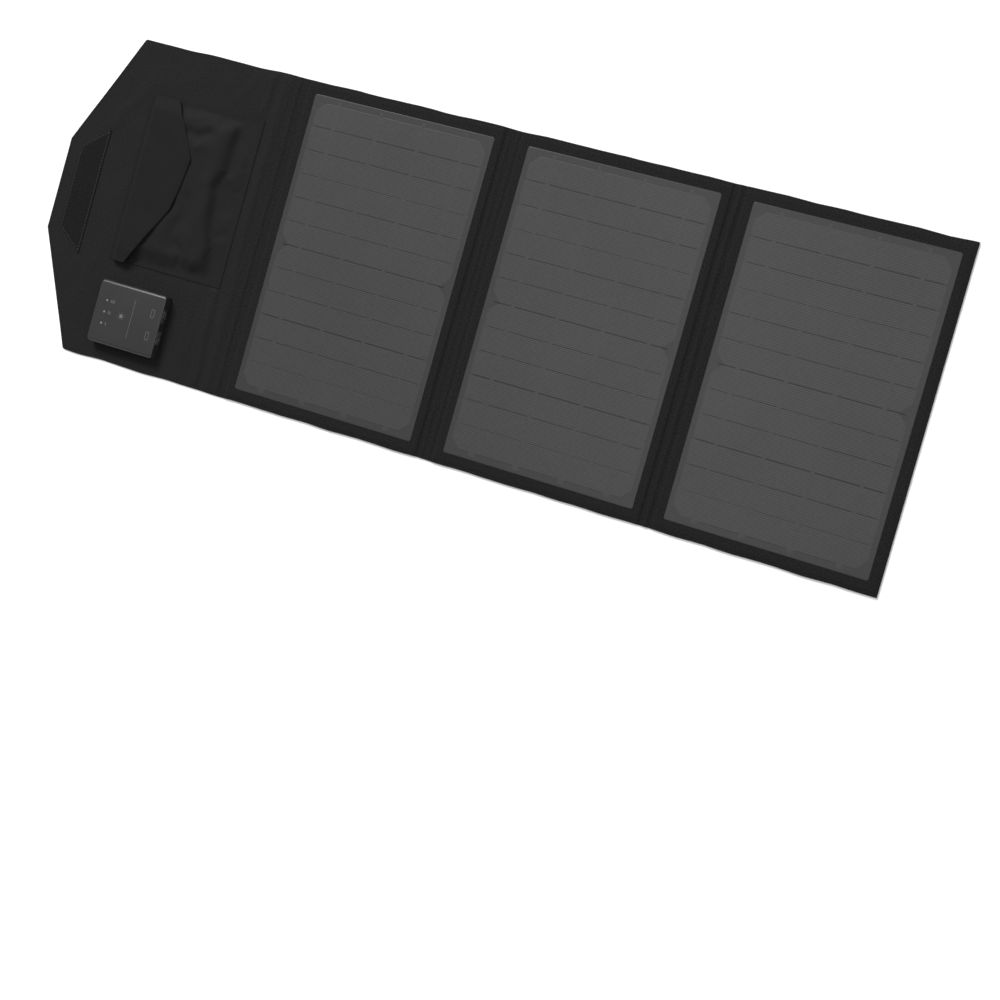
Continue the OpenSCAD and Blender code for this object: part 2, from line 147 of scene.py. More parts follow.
def mesh_object(name, verts, faces, material, uv=None, angle=38):
    mesh = bpy.data.meshes.new(name)
    mesh.from_pydata((np.asarray(verts, float) / MM).tolist(), [], [list(f) for f in faces])
    mesh.update()
    if uv is not None:
        layer = mesh.uv_layers.new(name="cloth")
        corner = np.empty(len(mesh.loops), np.int32)
        mesh.loops.foreach_get("vertex_index", corner)
        layer.data.foreach_set("uv", (np.asarray(uv, float) / MM)[corner].ravel())
    mesh.shade_smooth()
    mesh.set_sharp_from_angle(angle=math.radians(angle))
    obj = bpy.data.objects.new(name, mesh)
    bpy.context.scene.collection.objects.link(obj)
    mesh.materials.append(material)
    return obj


def thick_sheet(name, top, under, material, angle=38, uv=None):
    """A closed sheet between two grids of points: X rises along the first index, Y along the second."""
    n, m = top.shape[:2]
    i, j = np.meshgrid(np.arange(n - 1), np.arange(m - 1), indexing="ij")
    a = (i * m + j).ravel()
    up = np.stack([a, a + m, a + m + 1, a + 1], 1)
    rim = np.concatenate([np.arange(n) * m, (n - 1) * m + np.arange(1, m),
                          np.arange(n - 2, -1, -1) * m + m - 1, np.arange(m - 2, 0, -1)])
    after = np.roll(rim, -1)
    walls = np.stack([rim, rim + n * m, after + n * m, after], 1)
    verts = np.concatenate([top.reshape(-1, 3), under.reshape(-1, 3)])
    flat = verts[:, :2] if uv is None else np.concatenate([uv.reshape(-1, 2)] * 2)
    faces = np.concatenate([up, up[:, ::-1] + n * m, walls])
    return mesh_object(name, verts, faces.tolist(), material, flat, angle)


def loft(rings):
    """A closed form through rings of equally many points, counter-clockwise from above as they rise."""
    n = len(rings[0])
    faces = [tuple(range(n - 1, -1, -1))]
    for r in range(len(rings) - 1):
        for k in range(n):
            a, b = r * n + k, r * n + (k + 1) % n
            faces.append((a, b, b + n, a + n))
    faces.append(tuple(range((len(rings) - 1) * n, len(rings) * n)))
    return np.concatenate(rings), faces


def join_forms(forms):
    verts, faces, start = [], [], 0
    for v, f in forms:
        verts.append(v)
        faces += [tuple(k + start for k in face) for face in f]
        start += len(v)
    return np.concatenate(verts), faces


def inset(outline, distance):
    """A convex outline, counter-clockwise, moved inwards."""
    p = np.asarray(outline, float)
    n = len(p)
    edge = np.roll(p, -1, 0) - p
    edge /= np.linalg.norm(edge, axis=1)[:, None]
    inward = np.stack([-edge[:, 1], edge[:, 0]], 1)
    out = []
    for k in range(n):
        a, b = k - 1, k
        turn = edge[a][0] * edge[b][1] - edge[a][1] * edge[b][0]
        pa, pb = p[a] + inward[a] * distance, p[b] + inward[b] * distance
        if abs(turn) < 1e-6:
            out.append(pb)
            continue
        gap = pb - pa
        t = (gap[0] * edge[b][1] - gap[1] * edge[b][0]) / turn
        out.append(pa + edge[a] * t)
    return np.array(out)


def round_outline(x0, x1, y0, y1, r, steps=6):
    points = []
    for cx, cy, start in ((x1 - r, y0 + r, -0.25), (x1 - r, y1 - r, 0), (x0 + r, y1 - r, 0.25),
                          (x0 + r, y0 + r, 0.5)):
        for k in range(steps + 1):
            a = TAU * (start + 0.25 * k / steps)
            points.append((cx + r * math.cos(a), cy + r * math.sin(a)))
    return np.array(points)


def plate(outline, levels):
    """A plate from one outline: levels are (height, how far the outline is inset there)."""
    return loft([np.column_stack([inset(outline, d) if d else outline,
                                  np.full(len(outline), z)]) for z, d in levels])


# ---- Materials ----

def start_material(name, **constants):
    material = bpy.data.materials.new(name)
    material.use_nodes = True
    tree = material.node_tree
    bsdf = tree.nodes["Principled BSDF"]
    for socket, value in constants.items():
        bsdf.inputs[socket.replace("_", " ").title().replace("Ior", "IOR")].default_value = value
    return material, tree, bsdf


def put(tree, kind, values, **settings):
    node = tree.nodes.new(kind)
    for key, value in settings.items():
        setattr(node, key, value)
    for key, value in values.items():
        if isinstance(value, bpy.types.NodeSocket):
            tree.links.new(value, node.inputs[key])
        else:
            node.inputs[key].default_value = value
    return node


def calc(tree, operation, a, b=0.0, c=0.0):
    return put(tree, "ShaderNodeMath", {0: a, 1: b, 2: c}, operation=operation).outputs[0]


def noise(tree, vector, per_metre, detail=2.0):
    return put(tree, "ShaderNodeTexNoise",
               {"Vector": vector, "Scale": per_metre, "Detail": detail}).outputs[0]


def ramp(tree, factor, low, high):
    """A colour between two linear ones."""
    node = put(tree, "ShaderNodeMix", {0: factor, 6: (*low, 1), 7: (*high, 1)}, data_type="RGBA")
    return node.outputs[2]


def connect_surface(tree, bsdf, colour, roughness, height, distance):
    tree.links.new(colour, bsdf.inputs["Base Color"])
    tree.links.new(roughness, bsdf.inputs["Roughness"])
    lift = put(tree, "ShaderNodeBump", {"Strength": 1.0, "Distance": distance, "Height": height})
    tree.links.new(lift.outputs[0], bsdf.inputs["Normal"])


def woven(name, colour, thread=0.45, contrast=0.5, rough=0.8, sheen=0.25, depth=0.06, patch=0.1,
          slub=1.3, slub_share=0.5):
    """Plain-woven cloth: threads over and under each other, uneven threads, and faint patches."""
    material, tree, bsdf = start_material(name, sheen_weight=sheen, sheen_roughness=0.45,
                                          specular_ior_level=0.07)
    uv = put(tree, "ShaderNodeUVMap", {}, uv_map="cloth").outputs[0]
    part = put(tree, "ShaderNodeSeparateXYZ", {0: uv})
    k = TAU / (2 * thread / MM)
    wander = calc(tree, "MULTIPLY", noise(tree, uv, 160.0, 1.0), 2.2)
    across = calc(tree, "SINE", calc(tree, "MULTIPLY_ADD", part.outputs[0], k, wander))
    along = calc(tree, "SINE", calc(tree, "MULTIPLY_ADD", part.outputs[1], k, wander))
    weave = calc(tree, "MULTIPLY", across, along)
    fine = noise(tree, uv, MM / slub, 2.0)
    broad = noise(tree, uv, 22.0, 3.0)
    height = calc(tree, "MULTIPLY_ADD", weave, 0.35, calc(tree, "MULTIPLY", fine, slub_share * 2))
    shade = calc(tree, "MULTIPLY_ADD", weave, 0.12 * contrast,
                 calc(tree, "MULTIPLY_ADD", fine, contrast, 0.5 - contrast / 2))
    shade = calc(tree, "MULTIPLY_ADD", broad, patch, calc(tree, "SUBTRACT", shade, patch / 2))
    low, high = [c * 0.25 for c in colour], [c * 1.75 for c in colour]
    roughness = calc(tree, "MULTIPLY_ADD", fine, 0.18, rough - 0.09)
    connect_surface(tree, bsdf, ramp(tree, shade, low, high), roughness, height, depth / MM)
    return material


def hard(name, low, high, grain=900.0, rough=(0.4, 0.6), depth=0.01, detail=3.0, **constants):
    """Moulded, printed or metal surfaces: a fine grain, faint patches and uneven gloss."""
    material, tree, bsdf = start_material(name, **constants)
    place = put(tree, "ShaderNodeTexCoord", {}).outputs["Object"]
    fine = noise(tree, place, grain, detail)
    broad = noise(tree, place, 35.0, 2.0)
    shade = calc(tree, "MULTIPLY_ADD", fine, 0.5, calc(tree, "MULTIPLY", broad, 0.5))
    roughness = calc(tree, "MULTIPLY_ADD", broad, rough[1] - rough[0], rough[0])
    connect_surface(tree, bsdf, ramp(tree, shade, low, high), roughness, fine, depth / MM)
    return material


def film_over(name, colour, lines, sheen_patch=0.2, rough=0.36):
    """Matt embossed film, over cells with fine finger lines along X if lines is more than 0."""
    material, tree, bsdf = start_material(name, specular_ior_level=0.25)
    place = put(tree, "ShaderNodeTexCoord", {}).outputs["Object"]
    part = put(tree, "ShaderNodeSeparateXYZ", {0: place})
    finger = calc(tree, "SINE", calc(tree, "MULTIPLY", part.outputs[1], TAU / (1.7 / MM)))
    emboss = noise(tree, place, 1300.0, 1.0)
    speck = noise(tree, place, 420.0, 2.0)
    broad = noise(tree, place, 14.0, 2.0)
    shade = calc(tree, "MULTIPLY_ADD", finger, lines, calc(tree, "MULTIPLY_ADD", speck, 0.35, 0.325))
    shade = calc(tree, "MULTIPLY_ADD", broad, sheen_patch, calc(tree, "SUBTRACT", shade, sheen_patch / 2))
    low, high = [c * 0.55 for c in colour], [c * 1.45 for c in colour]
    roughness = calc(tree, "MULTIPLY_ADD", emboss, 0.16, rough - 0.08)
    connect_surface(tree, bsdf, ramp(tree, shade, low, high), roughness, emboss, 0.02 / MM)
    return material


def grey(value, blue=1.0):
    return (value, value, value * blue)


BORDER = woven("border_cloth", grey(0.0115, 1.02), thread=0.5, contrast=1.5, rough=0.85, sheen=0.03,
               depth=0.2, slub=1.25, slub_share=0.9)
OUTSIDE = woven("outside_cloth", grey(0.0135, 1.02), thread=0.55, contrast=0.8, rough=0.68, sheen=0.05,
                depth=0.1, slub=0.9)
LINING = woven("lining_cloth", grey(0.0118, 1.03), thread=0.4, contrast=1.1, rough=0.8, sheen=0.03,
               depth=0.06, slub=1.4)
POCKET = woven("pocket_cloth", grey(0.0112, 1.03), thread=0.38, contrast=0.5, rough=0.76, sheen=0.04,
               depth=0.05, slub=1.3)
LEAF = woven("pocket_flap_cloth", grey(0.0098, 1.03), thread=0.38, contrast=0.6, rough=0.76, sheen=0.03,
             depth=0.05, slub=1.3)
THREAD = hard("sewing_thread", grey(0.008), grey(0.014), 2500.0, (0.5, 0.7), 0.02, specular_ior_level=0.12)
PALE_THREAD = hard("tape_thread", grey(0.025), grey(0.045), 2500.0, (0.5, 0.7), 0.02,
                   specular_ior_level=0.3)
HOOKS = woven("hook_cloth", grey(0.0075), thread=0.6, contrast=0.7, rough=0.7, sheen=0.0, depth=0.15)
HOOK_PLASTIC = hard("hook_plastic", grey(0.005), grey(0.012), 1500.0, (0.35, 0.5), 0.01,
                    specular_ior_level=0.25)
LOOPS = woven("loop_cloth", grey(0.0095), thread=0.7, contrast=0.8, rough=0.95, sheen=0.12, depth=0.2,
              slub=0.8, slub_share=0.9)
CELL_FILM = film_over("film_over_cells", grey(0.0405, 1.02), 0.26)
RIM_FILM = film_over("film_over_backsheet", grey(0.0315, 1.02), 0.0)
GAP_FILM = film_over("film_over_gaps", grey(0.014, 1.02), 0.0)
RIBBON_FILM = film_over("film_over_ribbons", grey(0.041, 1.02), 0.26)
TAB_FILM = film_over("film_over_tabs", grey(0.0395, 1.0), 0.0)
BOX_PLASTIC = hard("box_plastic", grey(0.016, 1.02), grey(0.026, 1.02), 2600.0, (0.33, 0.41), 0.02,
                   specular_ior_level=0.4)
BASE_PLASTIC = hard("base_plastic", grey(0.014), grey(0.022), 2600.0, (0.45, 0.6), 0.03)
MARKS = hard("printed_marks", grey(0.08), grey(0.12), 1800.0, (0.5, 0.6), 0.005)


# ---- Cover: a cloth skin in pieces, each lying over two bodies ----

OUTLINE = [(TIP_X, -TIP_HALF), (SHOULDER_X, -HALF_Y), (END_X, -HALF_Y), (END_X, HALF_Y),
           (SHOULDER_X, HALF_Y), (TIP_X, TIP_HALF)]
SLANT = math.atan2(HALF_Y - TIP_HALF, CORNER_L)

# Soft folds of the flap: x0, y0, x1, y1, width, height. The last four are near the tip.
FOLDS = [(-187.2, 150, -186.0, -150, 2.2, -0.6), (-192.0, 150, -190.0, -150, 2.4, 0.35),
         (-196.0, 118, -200.5, -62, 3.2, -0.5), (-204.5, 145, -200.5, -96, 3.0, 0.7),
         (-210.0, 142, -211.5, 22, 2.2, -0.55), (-210.0, 0, -206.0, -148, 2.6, -0.5),
         (-217.0, -44, -211.5, -140, 3.0, 0.8), (-225.0, -48, -219.5, -146, 2.6, -0.55),
         (-236.0, -52, -230.0, -142, 3.4, 0.55), (-246.0, -50, -241.0, -140, 2.6, -0.35),
         (-214.5, 146, -216.5, 104, 2.4, 0.6), (-226.0, 140, -246.0, 104, 4.0, 0.4),
         (-330.0, 98, -356.0, 60, 5.0, 0.4), (-336.0, 112, -350.0, 84, 3.0, -0.3),
         (-331.0, -40, -346.0, -92, 5.0, 0.35), (-326.0, -62, -334.0, -120, 3.5, -0.3)]


# Soft ridges of each web: how far across it, width and height.
WEB_RIDGES = [[(0.2, 1.3, 0.55), (0.87, 1.1, 0.4)], [(0.55, 2.0, 1.05)]]


def half_at(x):
    return np.interp(x, [TIP_X, SHOULDER_X], [TIP_HALF, HALF_Y])


def edge_distance(x, y):
    slanted = (TIP_HALF + (x - TIP_X) * math.tan(SLANT) - np.abs(y)) * math.cos(SLANT)
    return np.minimum(np.minimum(HALF_Y - np.abs(y), slanted), np.minimum(x - TIP_X, END_X - x))


def stiff(x):
    """1 over the boards, which reach about 6 mm past their laminates, and 0 over webs, spine and flap."""
    share = 0
    for k, (low, high) in enumerate(LAMINATES):
        rise = smooth(low[0] - 8.8, low[0] - 5.8, x)
        share = share + rise * (1 if k == 2 else 1 - smooth(high[0] + 5.8, high[0] + 8.8, x))
    return share


def under_load(x, y):
    """1 where the pocket or the box holds the flap flat."""
    share = 0
    for low, high in ((POCKET_LOW, POCKET_HIGH), (BOX_LOW, BOX_HIGH)):
        inside = np.minimum(np.minimum(x - low[0], high[0] - x), np.minimum(y - low[1], high[1] - y))
        share = share + smooth(-4, 0, inside)
    return np.clip(share, 0, 1)


def flap_lift(x, y):
    soft = (1 - smooth(SPINE_X - 0.4, SPINE_X + 0.3, x)) * (1 - under_load(x, y))
    arch = 0.55 * smooth(MAIN_X - 20, MAIN_X + 2, x) * (1 - smooth(SPINE_X - 5, SPINE_X, x))
    lift = arch + 1.5 * sum(crease(x, y, f) for f in FOLDS) + 0.2 * ripple(x, y, 34, 5)
    lift = np.minimum(lift, 0.12 + 2.2 * (1 - bump(x, SPINE_X - 9.8, 9.0)))
    return lift * soft * smooth(0.5, 9, edge_distance(x, y) + 2)


def cover_top(x, y):
    d, panel = edge_distance(x, y), stiff(x)
    top = FLAP_T + (BORDER_T - FLAP_T) * panel
    top = top - panel * 0.55 * (1 - smooth(1.2, 4.4, d)) + 0.04 * panel * ripple(x, y, 17, 3)
    for (a, b), ridges in zip(WEBS, WEB_RIDGES):
        for share, width, height in ridges:
            wander = 0.4 * np.sin(y / 31 + 5 * share)
            ridge = height * bump(x, a + (b - a) * share + wander, width)
            top = top + ridge * (1 + 0.25 * ripple(x, y, 26, 8))
    top = top + flap_lift(x, y)
    top = top - 0.12 * bump(d, 2.4, 0.6)
    top = top - (0.35 + 0.35 * panel) * (1 - smooth(0, 1.1, d)) ** 1.5
    return np.maximum(top, 1.08 - 0.5 * (1 - smooth(0, 1.1, d)))


def cover_under(x, y):
    d = edge_distance(x, y)
    under = 0.4 * np.clip(flap_lift(x, y), 0, 1.2)
    under = under + (0.22 + 0.3 * stiff(x)) * (1 - smooth(0, 1.2, d)) ** 1.5
    under = under + 0.08 * bump(d, 2.4, 0.5)
    for a, b in WEBS:
        under = under + 0.15 * bump(x, a, 0.7) + 0.15 * bump(x, b, 0.7)
    tape = np.minimum(np.minimum(x - LOOP_LOW[0], LOOP_HIGH[0] - x),
                      np.minimum(y - LOOP_LOW[1], LOOP_HIGH[1] - y))
    return under + 0.34 * smooth(-0.15, 0.05, tape)


RECESS, RECESS_WALL = 1.5, 0.12


def recessed(x, y, top):
    """The well under each laminate, which holds its board, cells and leads."""
    for low, high in LAMINATES:
        inside = np.minimum(np.minimum(x - low[0], high[0] - x), LAM_HALF_Y - np.abs(y)) - RECESS
        top = np.where(inside > -RECESS, np.minimum(top, FACE_Z - 0.47), top)
        share = np.clip(inside / RECESS_WALL, 0, 1)
        top = top + (COVER_T - 0.02 - top) * share
    return top


def lines(*stretches):
    """Grid lines: stretches are (start, end, largest step)."""
    out = []
    for a, b, step in stretches:
        out.append(np.linspace(a, b, max(2, int(math.ceil(abs(b - a) / step)) + 1)))
    return np.unique(np.round(np.concatenate(out), 4))


def across(taper=False):
    """Lines across the row, from edge to edge."""
    lam = LAM_HALF_Y
    side = lines((lam - RECESS - RECESS_WALL, lam - RECESS, 1), (lam - RECESS, lam, 0.8),
                 (lam, lam + 1.2, 0.4), (lam + 1.2, HALF_Y - 3.4, 1.2), (HALF_Y - 3.4, HALF_Y - 1.2, 0.45),
                 (HALF_Y - 1.2, HALF_Y, 0.3))
    inner = lines((0, lam - RECESS - RECESS_WALL, 2.6))
    upper = np.unique(np.concatenate([inner, side]))
    if taper:
        upper = lines((0, HALF_Y - 6, 2.4), (HALF_Y - 6, HALF_Y, 0.6))
    return np.unique(np.concatenate([-upper, upper]))


def cover_piece(name, xs, nodes, material, taper=False, flat_step=0):
    ys = across(taper)
    x, v = np.meshgrid(xs, ys, indexing="ij")
    y = v * half_at(x) / HALF_Y
    top = recessed(x, y, cover_top(x, y))
    under = np.minimum(cover_under(x, y), top - 0.06)
    wave = ripple(x, np.sign(v) * 40, 42, 17) - 0.6 * np.sign(v)
    y = y + 0.3 * smooth(HALF_Y - 14, HALF_Y, np.abs(v)) * wave
    piece = thick_sheet(name, np.stack([x, y, top], -1), np.stack([x, y, under], -1), material)
    piece.data.materials.append(OUTSIDE)
    for face in piece.data.polygons:
        face.material_index = 1 if face.normal.z < -0.5 else 0
    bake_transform(piece)
    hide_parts(*nodes)
    width, length = 2 * HALF_Y / MM, (xs[-1] - xs[0]) / MM
    area = np.trapz(2 * half_at(xs), xs) / MM**2
    return piece, width, length, min(area, width * length)


def panel_lines(k, left, right):
    """Lines over half a panel and half the web beside it. left and right are its ends."""
    low, high = LAMINATES[k]
    mid = (low[0] + high[0]) / 2
    if right > mid + 1:
        e = high[0]
        return lines((left, e - RECESS - RECESS_WALL, 12), (e - RECESS - RECESS_WALL, e - RECESS, 1),
                     (e - RECESS, e, 0.8), (e, e + 1.2, 0.4), (e + 1.2, right - 9, 1.1),
                     (right - 9, right, 0.45))
    e = low[0]
    return lines((left, left + 9, 0.45), (left + 9, e - 1.2, 1.1), (e - 1.2, e, 0.4), (e, e + RECESS, 0.8),
                 (e + RECESS, e + RECESS + RECESS_WALL, 1), (e + RECESS + RECESS_WALL, right, 12))


MIDS = [(low[0] + high[0]) / 2 for low, high in LAMINATES]
SPINE_MID = (SPINE_X + MAIN_X) / 2
WEB_MIDS = [(a + b) / 2 for a, b in WEBS]
MAIN_CUT = MAIN_X - 28
SLOPE_MID = (SLOPE_X + TIP_BEND_X) / 2

SECTIONS = [
    ("panel_cloth_1a", panel_lines(0, SPINE_MID, MIDS[0]), ("spine", "panel_1"), SPINE_X, 4.5,
     ["border_fabric_1", "back_cover_1", "flap_spine"]),
    ("panel_cloth_1b", panel_lines(0, MIDS[0], WEB_MIDS[0]), ("panel_1", "web_12"), WEBS[0][0], 3.0,
     ["border_fabric_1", "back_cover_1", "fold_web_12"]),
    ("panel_cloth_2a", panel_lines(1, WEB_MIDS[0], MIDS[1]), ("web_12", "panel_2"), WEBS[0][1], 3.0,
     ["border_fabric_2", "back_cover_2", "fold_web_12"]),
    ("panel_cloth_2b", panel_lines(1, MIDS[1], WEB_MIDS[1]), ("panel_2", "web_23"), WEBS[1][0], 2.3,
     ["border_fabric_2", "back_cover_2", "fold_web_23"]),
    ("panel_cloth_3", np.unique(np.concatenate([
        panel_lines(2, WEB_MIDS[1], MIDS[2]),
        lines((MIDS[2], LAMINATES[2][1][0] - RECESS - RECESS_WALL, 12),
              (LAMINATES[2][1][0] - RECESS - RECESS_WALL, LAMINATES[2][1][0] - RECESS, 1),
              (LAMINATES[2][1][0] - RECESS, LAMINATES[2][1][0], 0.8),
              (LAMINATES[2][1][0], END_X - 1.2, 0.8), (END_X - 1.2, END_X, 0.3))])),
     ("web_23", "panel_3"), WEBS[1][1], 2.3, ["border_fabric_3", "back_cover_3", "fold_web_23"]),
    ("flap_cloth_spine", lines((MAIN_CUT, SPINE_MID, 1.3)), ("flap_main", "spine"), MAIN_X, 4.0,
     ["flap_main_outer", "flap_main_lining", "flap_spine"]),
    ("flap_cloth_main", lines((SLOPE_MID, MAIN_CUT, 1.9)), ("flap_slope", "flap_main"), SLOPE_X, 6.0,
     ["flap_main_outer", "flap_main_lining", "flap_slope_outer", "flap_slope_lining"]),
    ("flap_cloth_tip", lines((TIP_X, TIP_X + 1.2, 0.3), (TIP_X + 1.2, TIP_X + 5, 0.6),
                             (TIP_X + 5, SLOPE_MID, 1.7)),
     ("flap_tip", "flap_slope"), TIP_BEND_X, 6.0,
     ["flap_tip_outer", "flap_tip_lining", "flap_slope_outer", "flap_slope_lining"]),
]

for name, xs, bodies, pivot, reach, nodes in SECTIONS:
    on_flap = name.startswith("flap")
    piece, width, length, area = cover_piece(
        name, xs, nodes, LINING if on_flap else BORDER,
        taper=on_flap)


# ---- Laminates ----

CELL_W, PITCH, CLIPPED, STRIPS = 157.0, 20.8, 8.5, 6
GAPS = [0.35, 0.5, 0.7, 0.55, 0.65, 0.8, 0.4, 0.6, 0.5, 0.7, 0.6]
STRING_HALF = STRIPS * PITCH
RIBBONS, RIBBON_W = 4, 3.2
SLAB_TOP = FACE_Z - 0.06


def strip_outline(cx, y0, y1, side):
    """One cell strip, with slightly round clipped corners on the side given: 1, -1, or 0 for none."""
    w = CELL_W / 2

    def corner(sx, sy):
        edge = y1 if sy > 0 else y0
        if side != sy:
            return [(sx * w, edge)]
        cut = [(sx * (w - a * CLIPPED), edge - sy * b * CLIPPED)
               for a, b in ((0, 1), (0.15, 0.77), (0.77, 0.15), (1, 0))]
        return cut if sx * sy > 0 else cut[::-1]

    return np.array(corner(1, -1) + corner(1, 1) + corner(-1, 1) + corner(-1, -1)) + (cx, 0)


for k, (low, high) in enumerate(LAMINATES):
    n, cx = k + 1, (low[0] + high[0]) / 2
    outline = round_outline(low[0], high[0], -LAM_HALF_Y, LAM_HALF_Y, 1.8)
    v, f = plate(outline, [(FACE_Z - 0.45, 0), (SLAB_TOP - 0.2, 0), (SLAB_TOP - 0.06, 0.07),
                           (SLAB_TOP, 0.28), (SLAB_TOP, 0.9)])
    slab = mesh_object(f"laminate_{n}_film", v, f, RIM_FILM)
    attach(slab, f"panel_{n}")
    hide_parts(f"front_film_{n}", f"edge_seal_{n}")
    forms = []
    for row in range(2 * STRIPS):
        side = {0: -1, STRIPS - 1: 1}.get(row % STRIPS, 0)
        gap_below, gap_above = ([0] + GAPS + [0])[row:row + 2]
        y0 = row * PITCH - STRING_HALF + gap_below / 2
        y1 = (row + 1) * PITCH - STRING_HALF - gap_above / 2
        forms.append(plate(strip_outline(cx, y0, y1, side),
                           [(SLAB_TOP - 0.05, 0), (FACE_Z - 0.03, 0), (FACE_Z, 0.14), (FACE_Z, 0.6)]))
    v, f = join_forms(forms)
    cells = mesh_object(f"laminate_{n}_cells", v, f, CELL_FILM)
    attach(cells, f"panel_{n}")
    forms = []
    for row in range(1, 2 * STRIPS):
        y = row * PITCH - STRING_HALF
        forms.append(plate(round_outline(cx - CELL_W / 2 + 3, cx + CELL_W / 2 - 3, y - 0.6, y + 0.6, 0.5, 2),
                           [(SLAB_TOP - 0.04, 0), (SLAB_TOP + 0.012, 0), (SLAB_TOP + 0.014, 0.1)]))
    v, f = join_forms(forms)
    gaps = mesh_object(f"laminate_{n}_gaps", v, f, GAP_FILM)
    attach(gaps, f"panel_{n}")
    bands, tabs = [], []
    for r in range(RIBBONS):
        x = cx + (r - (RIBBONS - 1) / 2) * CELL_W / RIBBONS
        bands.append(plate(round_outline(x - RIBBON_W / 2, x + RIBBON_W / 2, -STRING_HALF + 0.6,
                                         STRING_HALF - 0.6, 0.8, 2),
                           [(SLAB_TOP - 0.05, 0), (FACE_Z + 0.005, 0), (FACE_Z + 0.03, 0.5)]))
        for s in (-1, 1):
            y0, y1 = sorted((s * (STRING_HALF - 0.4), s * (STRING_HALF + 3.6)))
            w = 2.6 if s < 0 else 1.5
            tabs.append(plate(round_outline(x - w, x + w, y0, y1, 0.5, 2),
                              [(SLAB_TOP - 0.05, 0), (FACE_Z, 0), (FACE_Z + 0.025, 0.35)]))
    v, f = join_forms(bands)
    band = mesh_object(f"laminate_{n}_ribbons", v, f, RIBBON_FILM)
    v, f = join_forms(tabs)
    tab = mesh_object(f"laminate_{n}_tabs", v, f, TAB_FILM)
    for piece in (band, tab):
        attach(piece, f"panel_{n}")


# Free edge of the closing flap: places across the row, and how far it reaches from the rise there.
LEAF_Y = [-53.4, -40.0, 2.5, 26.0, 49.0, 74.0, 96.6]
LEAF_REACH = [12.0, 19.5, 42.0, 46.0, 49.0, 36.0, 22.5]
SHEET_T = 0.7
SEWN = 4.5
PINNED_REACH = 0.4
POCKET_STEP = 1.7
MAX_SHIFT = 3.5
# Below SOFT_TOP the pocket keeps its shape. Above it the height is squeezed: to just under the CAD's
# top beneath the leaf, and to OPEN_RISE more beyond it, which is above the CAD solid.
SOFT_TOP = 5
OPEN_RISE = 3.2
# The slack gathers along a crest, and drops steeply to the sewn edge beyond it.
CREST_Y = [-50, -36, -20, -4, 12, 30, 47, 68, 96]
CREST_X = [-231, -233, -235, -239, -242, -245, -240, -238, -236]
# Smaller soft folds: x0, y0, x1, y1, width, height.
POCKET_FOLDS = [(-241, 92, -248, 32, 6.5, 3.4), (-248, 34, -238, -36, 6.0, 3.6),
                (-262, 20, -266, -34, 7.0, -2.4), (-254, -12, -242, -46, 4.0, 1.6),
                (-262, -22, -250, -50, 4.0, -1.5), (-222, 70, -221, 0, 3.5, 1.0),
                (-284, 84, -254, 92, 3.5, 1.5), (-286, 69, -254, 74, 4.6, -2.6),
                (-286, 57, -258, 62, 4.0, 1.6), (-294, -8, -274, 12, 5.0, -2.6)]

px = np.linspace(POCKET_LOW[0], POCKET_HIGH[0], int((POCKET_HIGH[0] - POCKET_LOW[0]) / POCKET_STEP) + 1)
py = np.linspace(POCKET_LOW[1], POCKET_HIGH[1], int((POCKET_HIGH[1] - POCKET_LOW[1]) / POCKET_STEP) + 1)
PX, PY = np.meshgrid(px, py, indexing="ij")
FOOT_Z = FLAP_T + SHEET_T


def pocket_inside(x, y):
    """Distance inside the sewn edge; the mouth, at the low end of X, isn't sewn."""
    return np.minimum(POCKET_HIGH[0] - SEWN - x, np.minimum(y - POCKET_LOW[1], POCKET_HIGH[1] - y) - SEWN)


def pocket_start(x, y):
    inside = pocket_inside(x, y)
    dome = 3.9 * smooth(0, 15, inside) + 0.9 * smooth(10, 36, inside)
    dome = dome * (1 - 0.88 * smooth(-1.2, 7.6, x - np.interp(y, CREST_Y, CREST_X)))
    folds = sum(crease(x, y, f) for f in POCKET_FOLDS)
    return FOOT_Z + (dome + folds * smooth(0, 9, inside) * 0.85).clip(0)


def simulate_pocket(z):
    """Blender cloth: pinned along the sewn edge, with slack and slight pressure, and no gravity."""
    n, m = z.shape
    grid = np.stack([PX, PY, z], -1).reshape(-1, 3) / MM
    i, j = np.meshgrid(np.arange(n - 1), np.arange(m - 1), indexing="ij")
    a = (i * m + j).ravel()
    mesh = bpy.data.meshes.new("pocket_cloth_sim")
    mesh.from_pydata(grid.tolist(), [], np.stack([a, a + m, a + m + 1, a + 1], 1).tolist())
    obj = bpy.data.objects.new("pocket_cloth_sim", mesh)
    bpy.context.scene.collection.objects.link(obj)
    pins = obj.vertex_groups.new(name="sewn")
    inside = pocket_inside(PX, PY).ravel()
    held = np.where(inside <= PINNED_REACH)[0]
    pins.add([int(v) for v in held], 1.0, "REPLACE")
    cloth = obj.modifiers.new("cloth", "CLOTH")
    s = cloth.settings
    s.quality = 6
    s.mass = 0.15
    s.vertex_group_mass = "sewn"
    s.tension_stiffness = s.compression_stiffness = 18
    s.shear_stiffness = 8
    s.bending_stiffness = 1.5
    s.air_damping = 4
    s.shrink_min = s.shrink_max = -0.006
    s.use_pressure = True
    s.uniform_pressure_force = 0.03
    s.effector_weights.gravity = 0
    cloth.collision_settings.use_collision = False
    cloth.point_cache.frame_start, cloth.point_cache.frame_end = 1, 30
    scene = bpy.context.scene
    for frame_number in range(1, 26):
        scene.frame_set(frame_number)
    evaluated = obj.evaluated_get(bpy.context.evaluated_depsgraph_get()).to_mesh()
    co = np.empty(len(evaluated.vertices) * 3)
    evaluated.vertices.foreach_get("co", co)
    scene.frame_set(1)
    bpy.data.objects.remove(obj)
    return co.reshape(n, m, 3) * MM


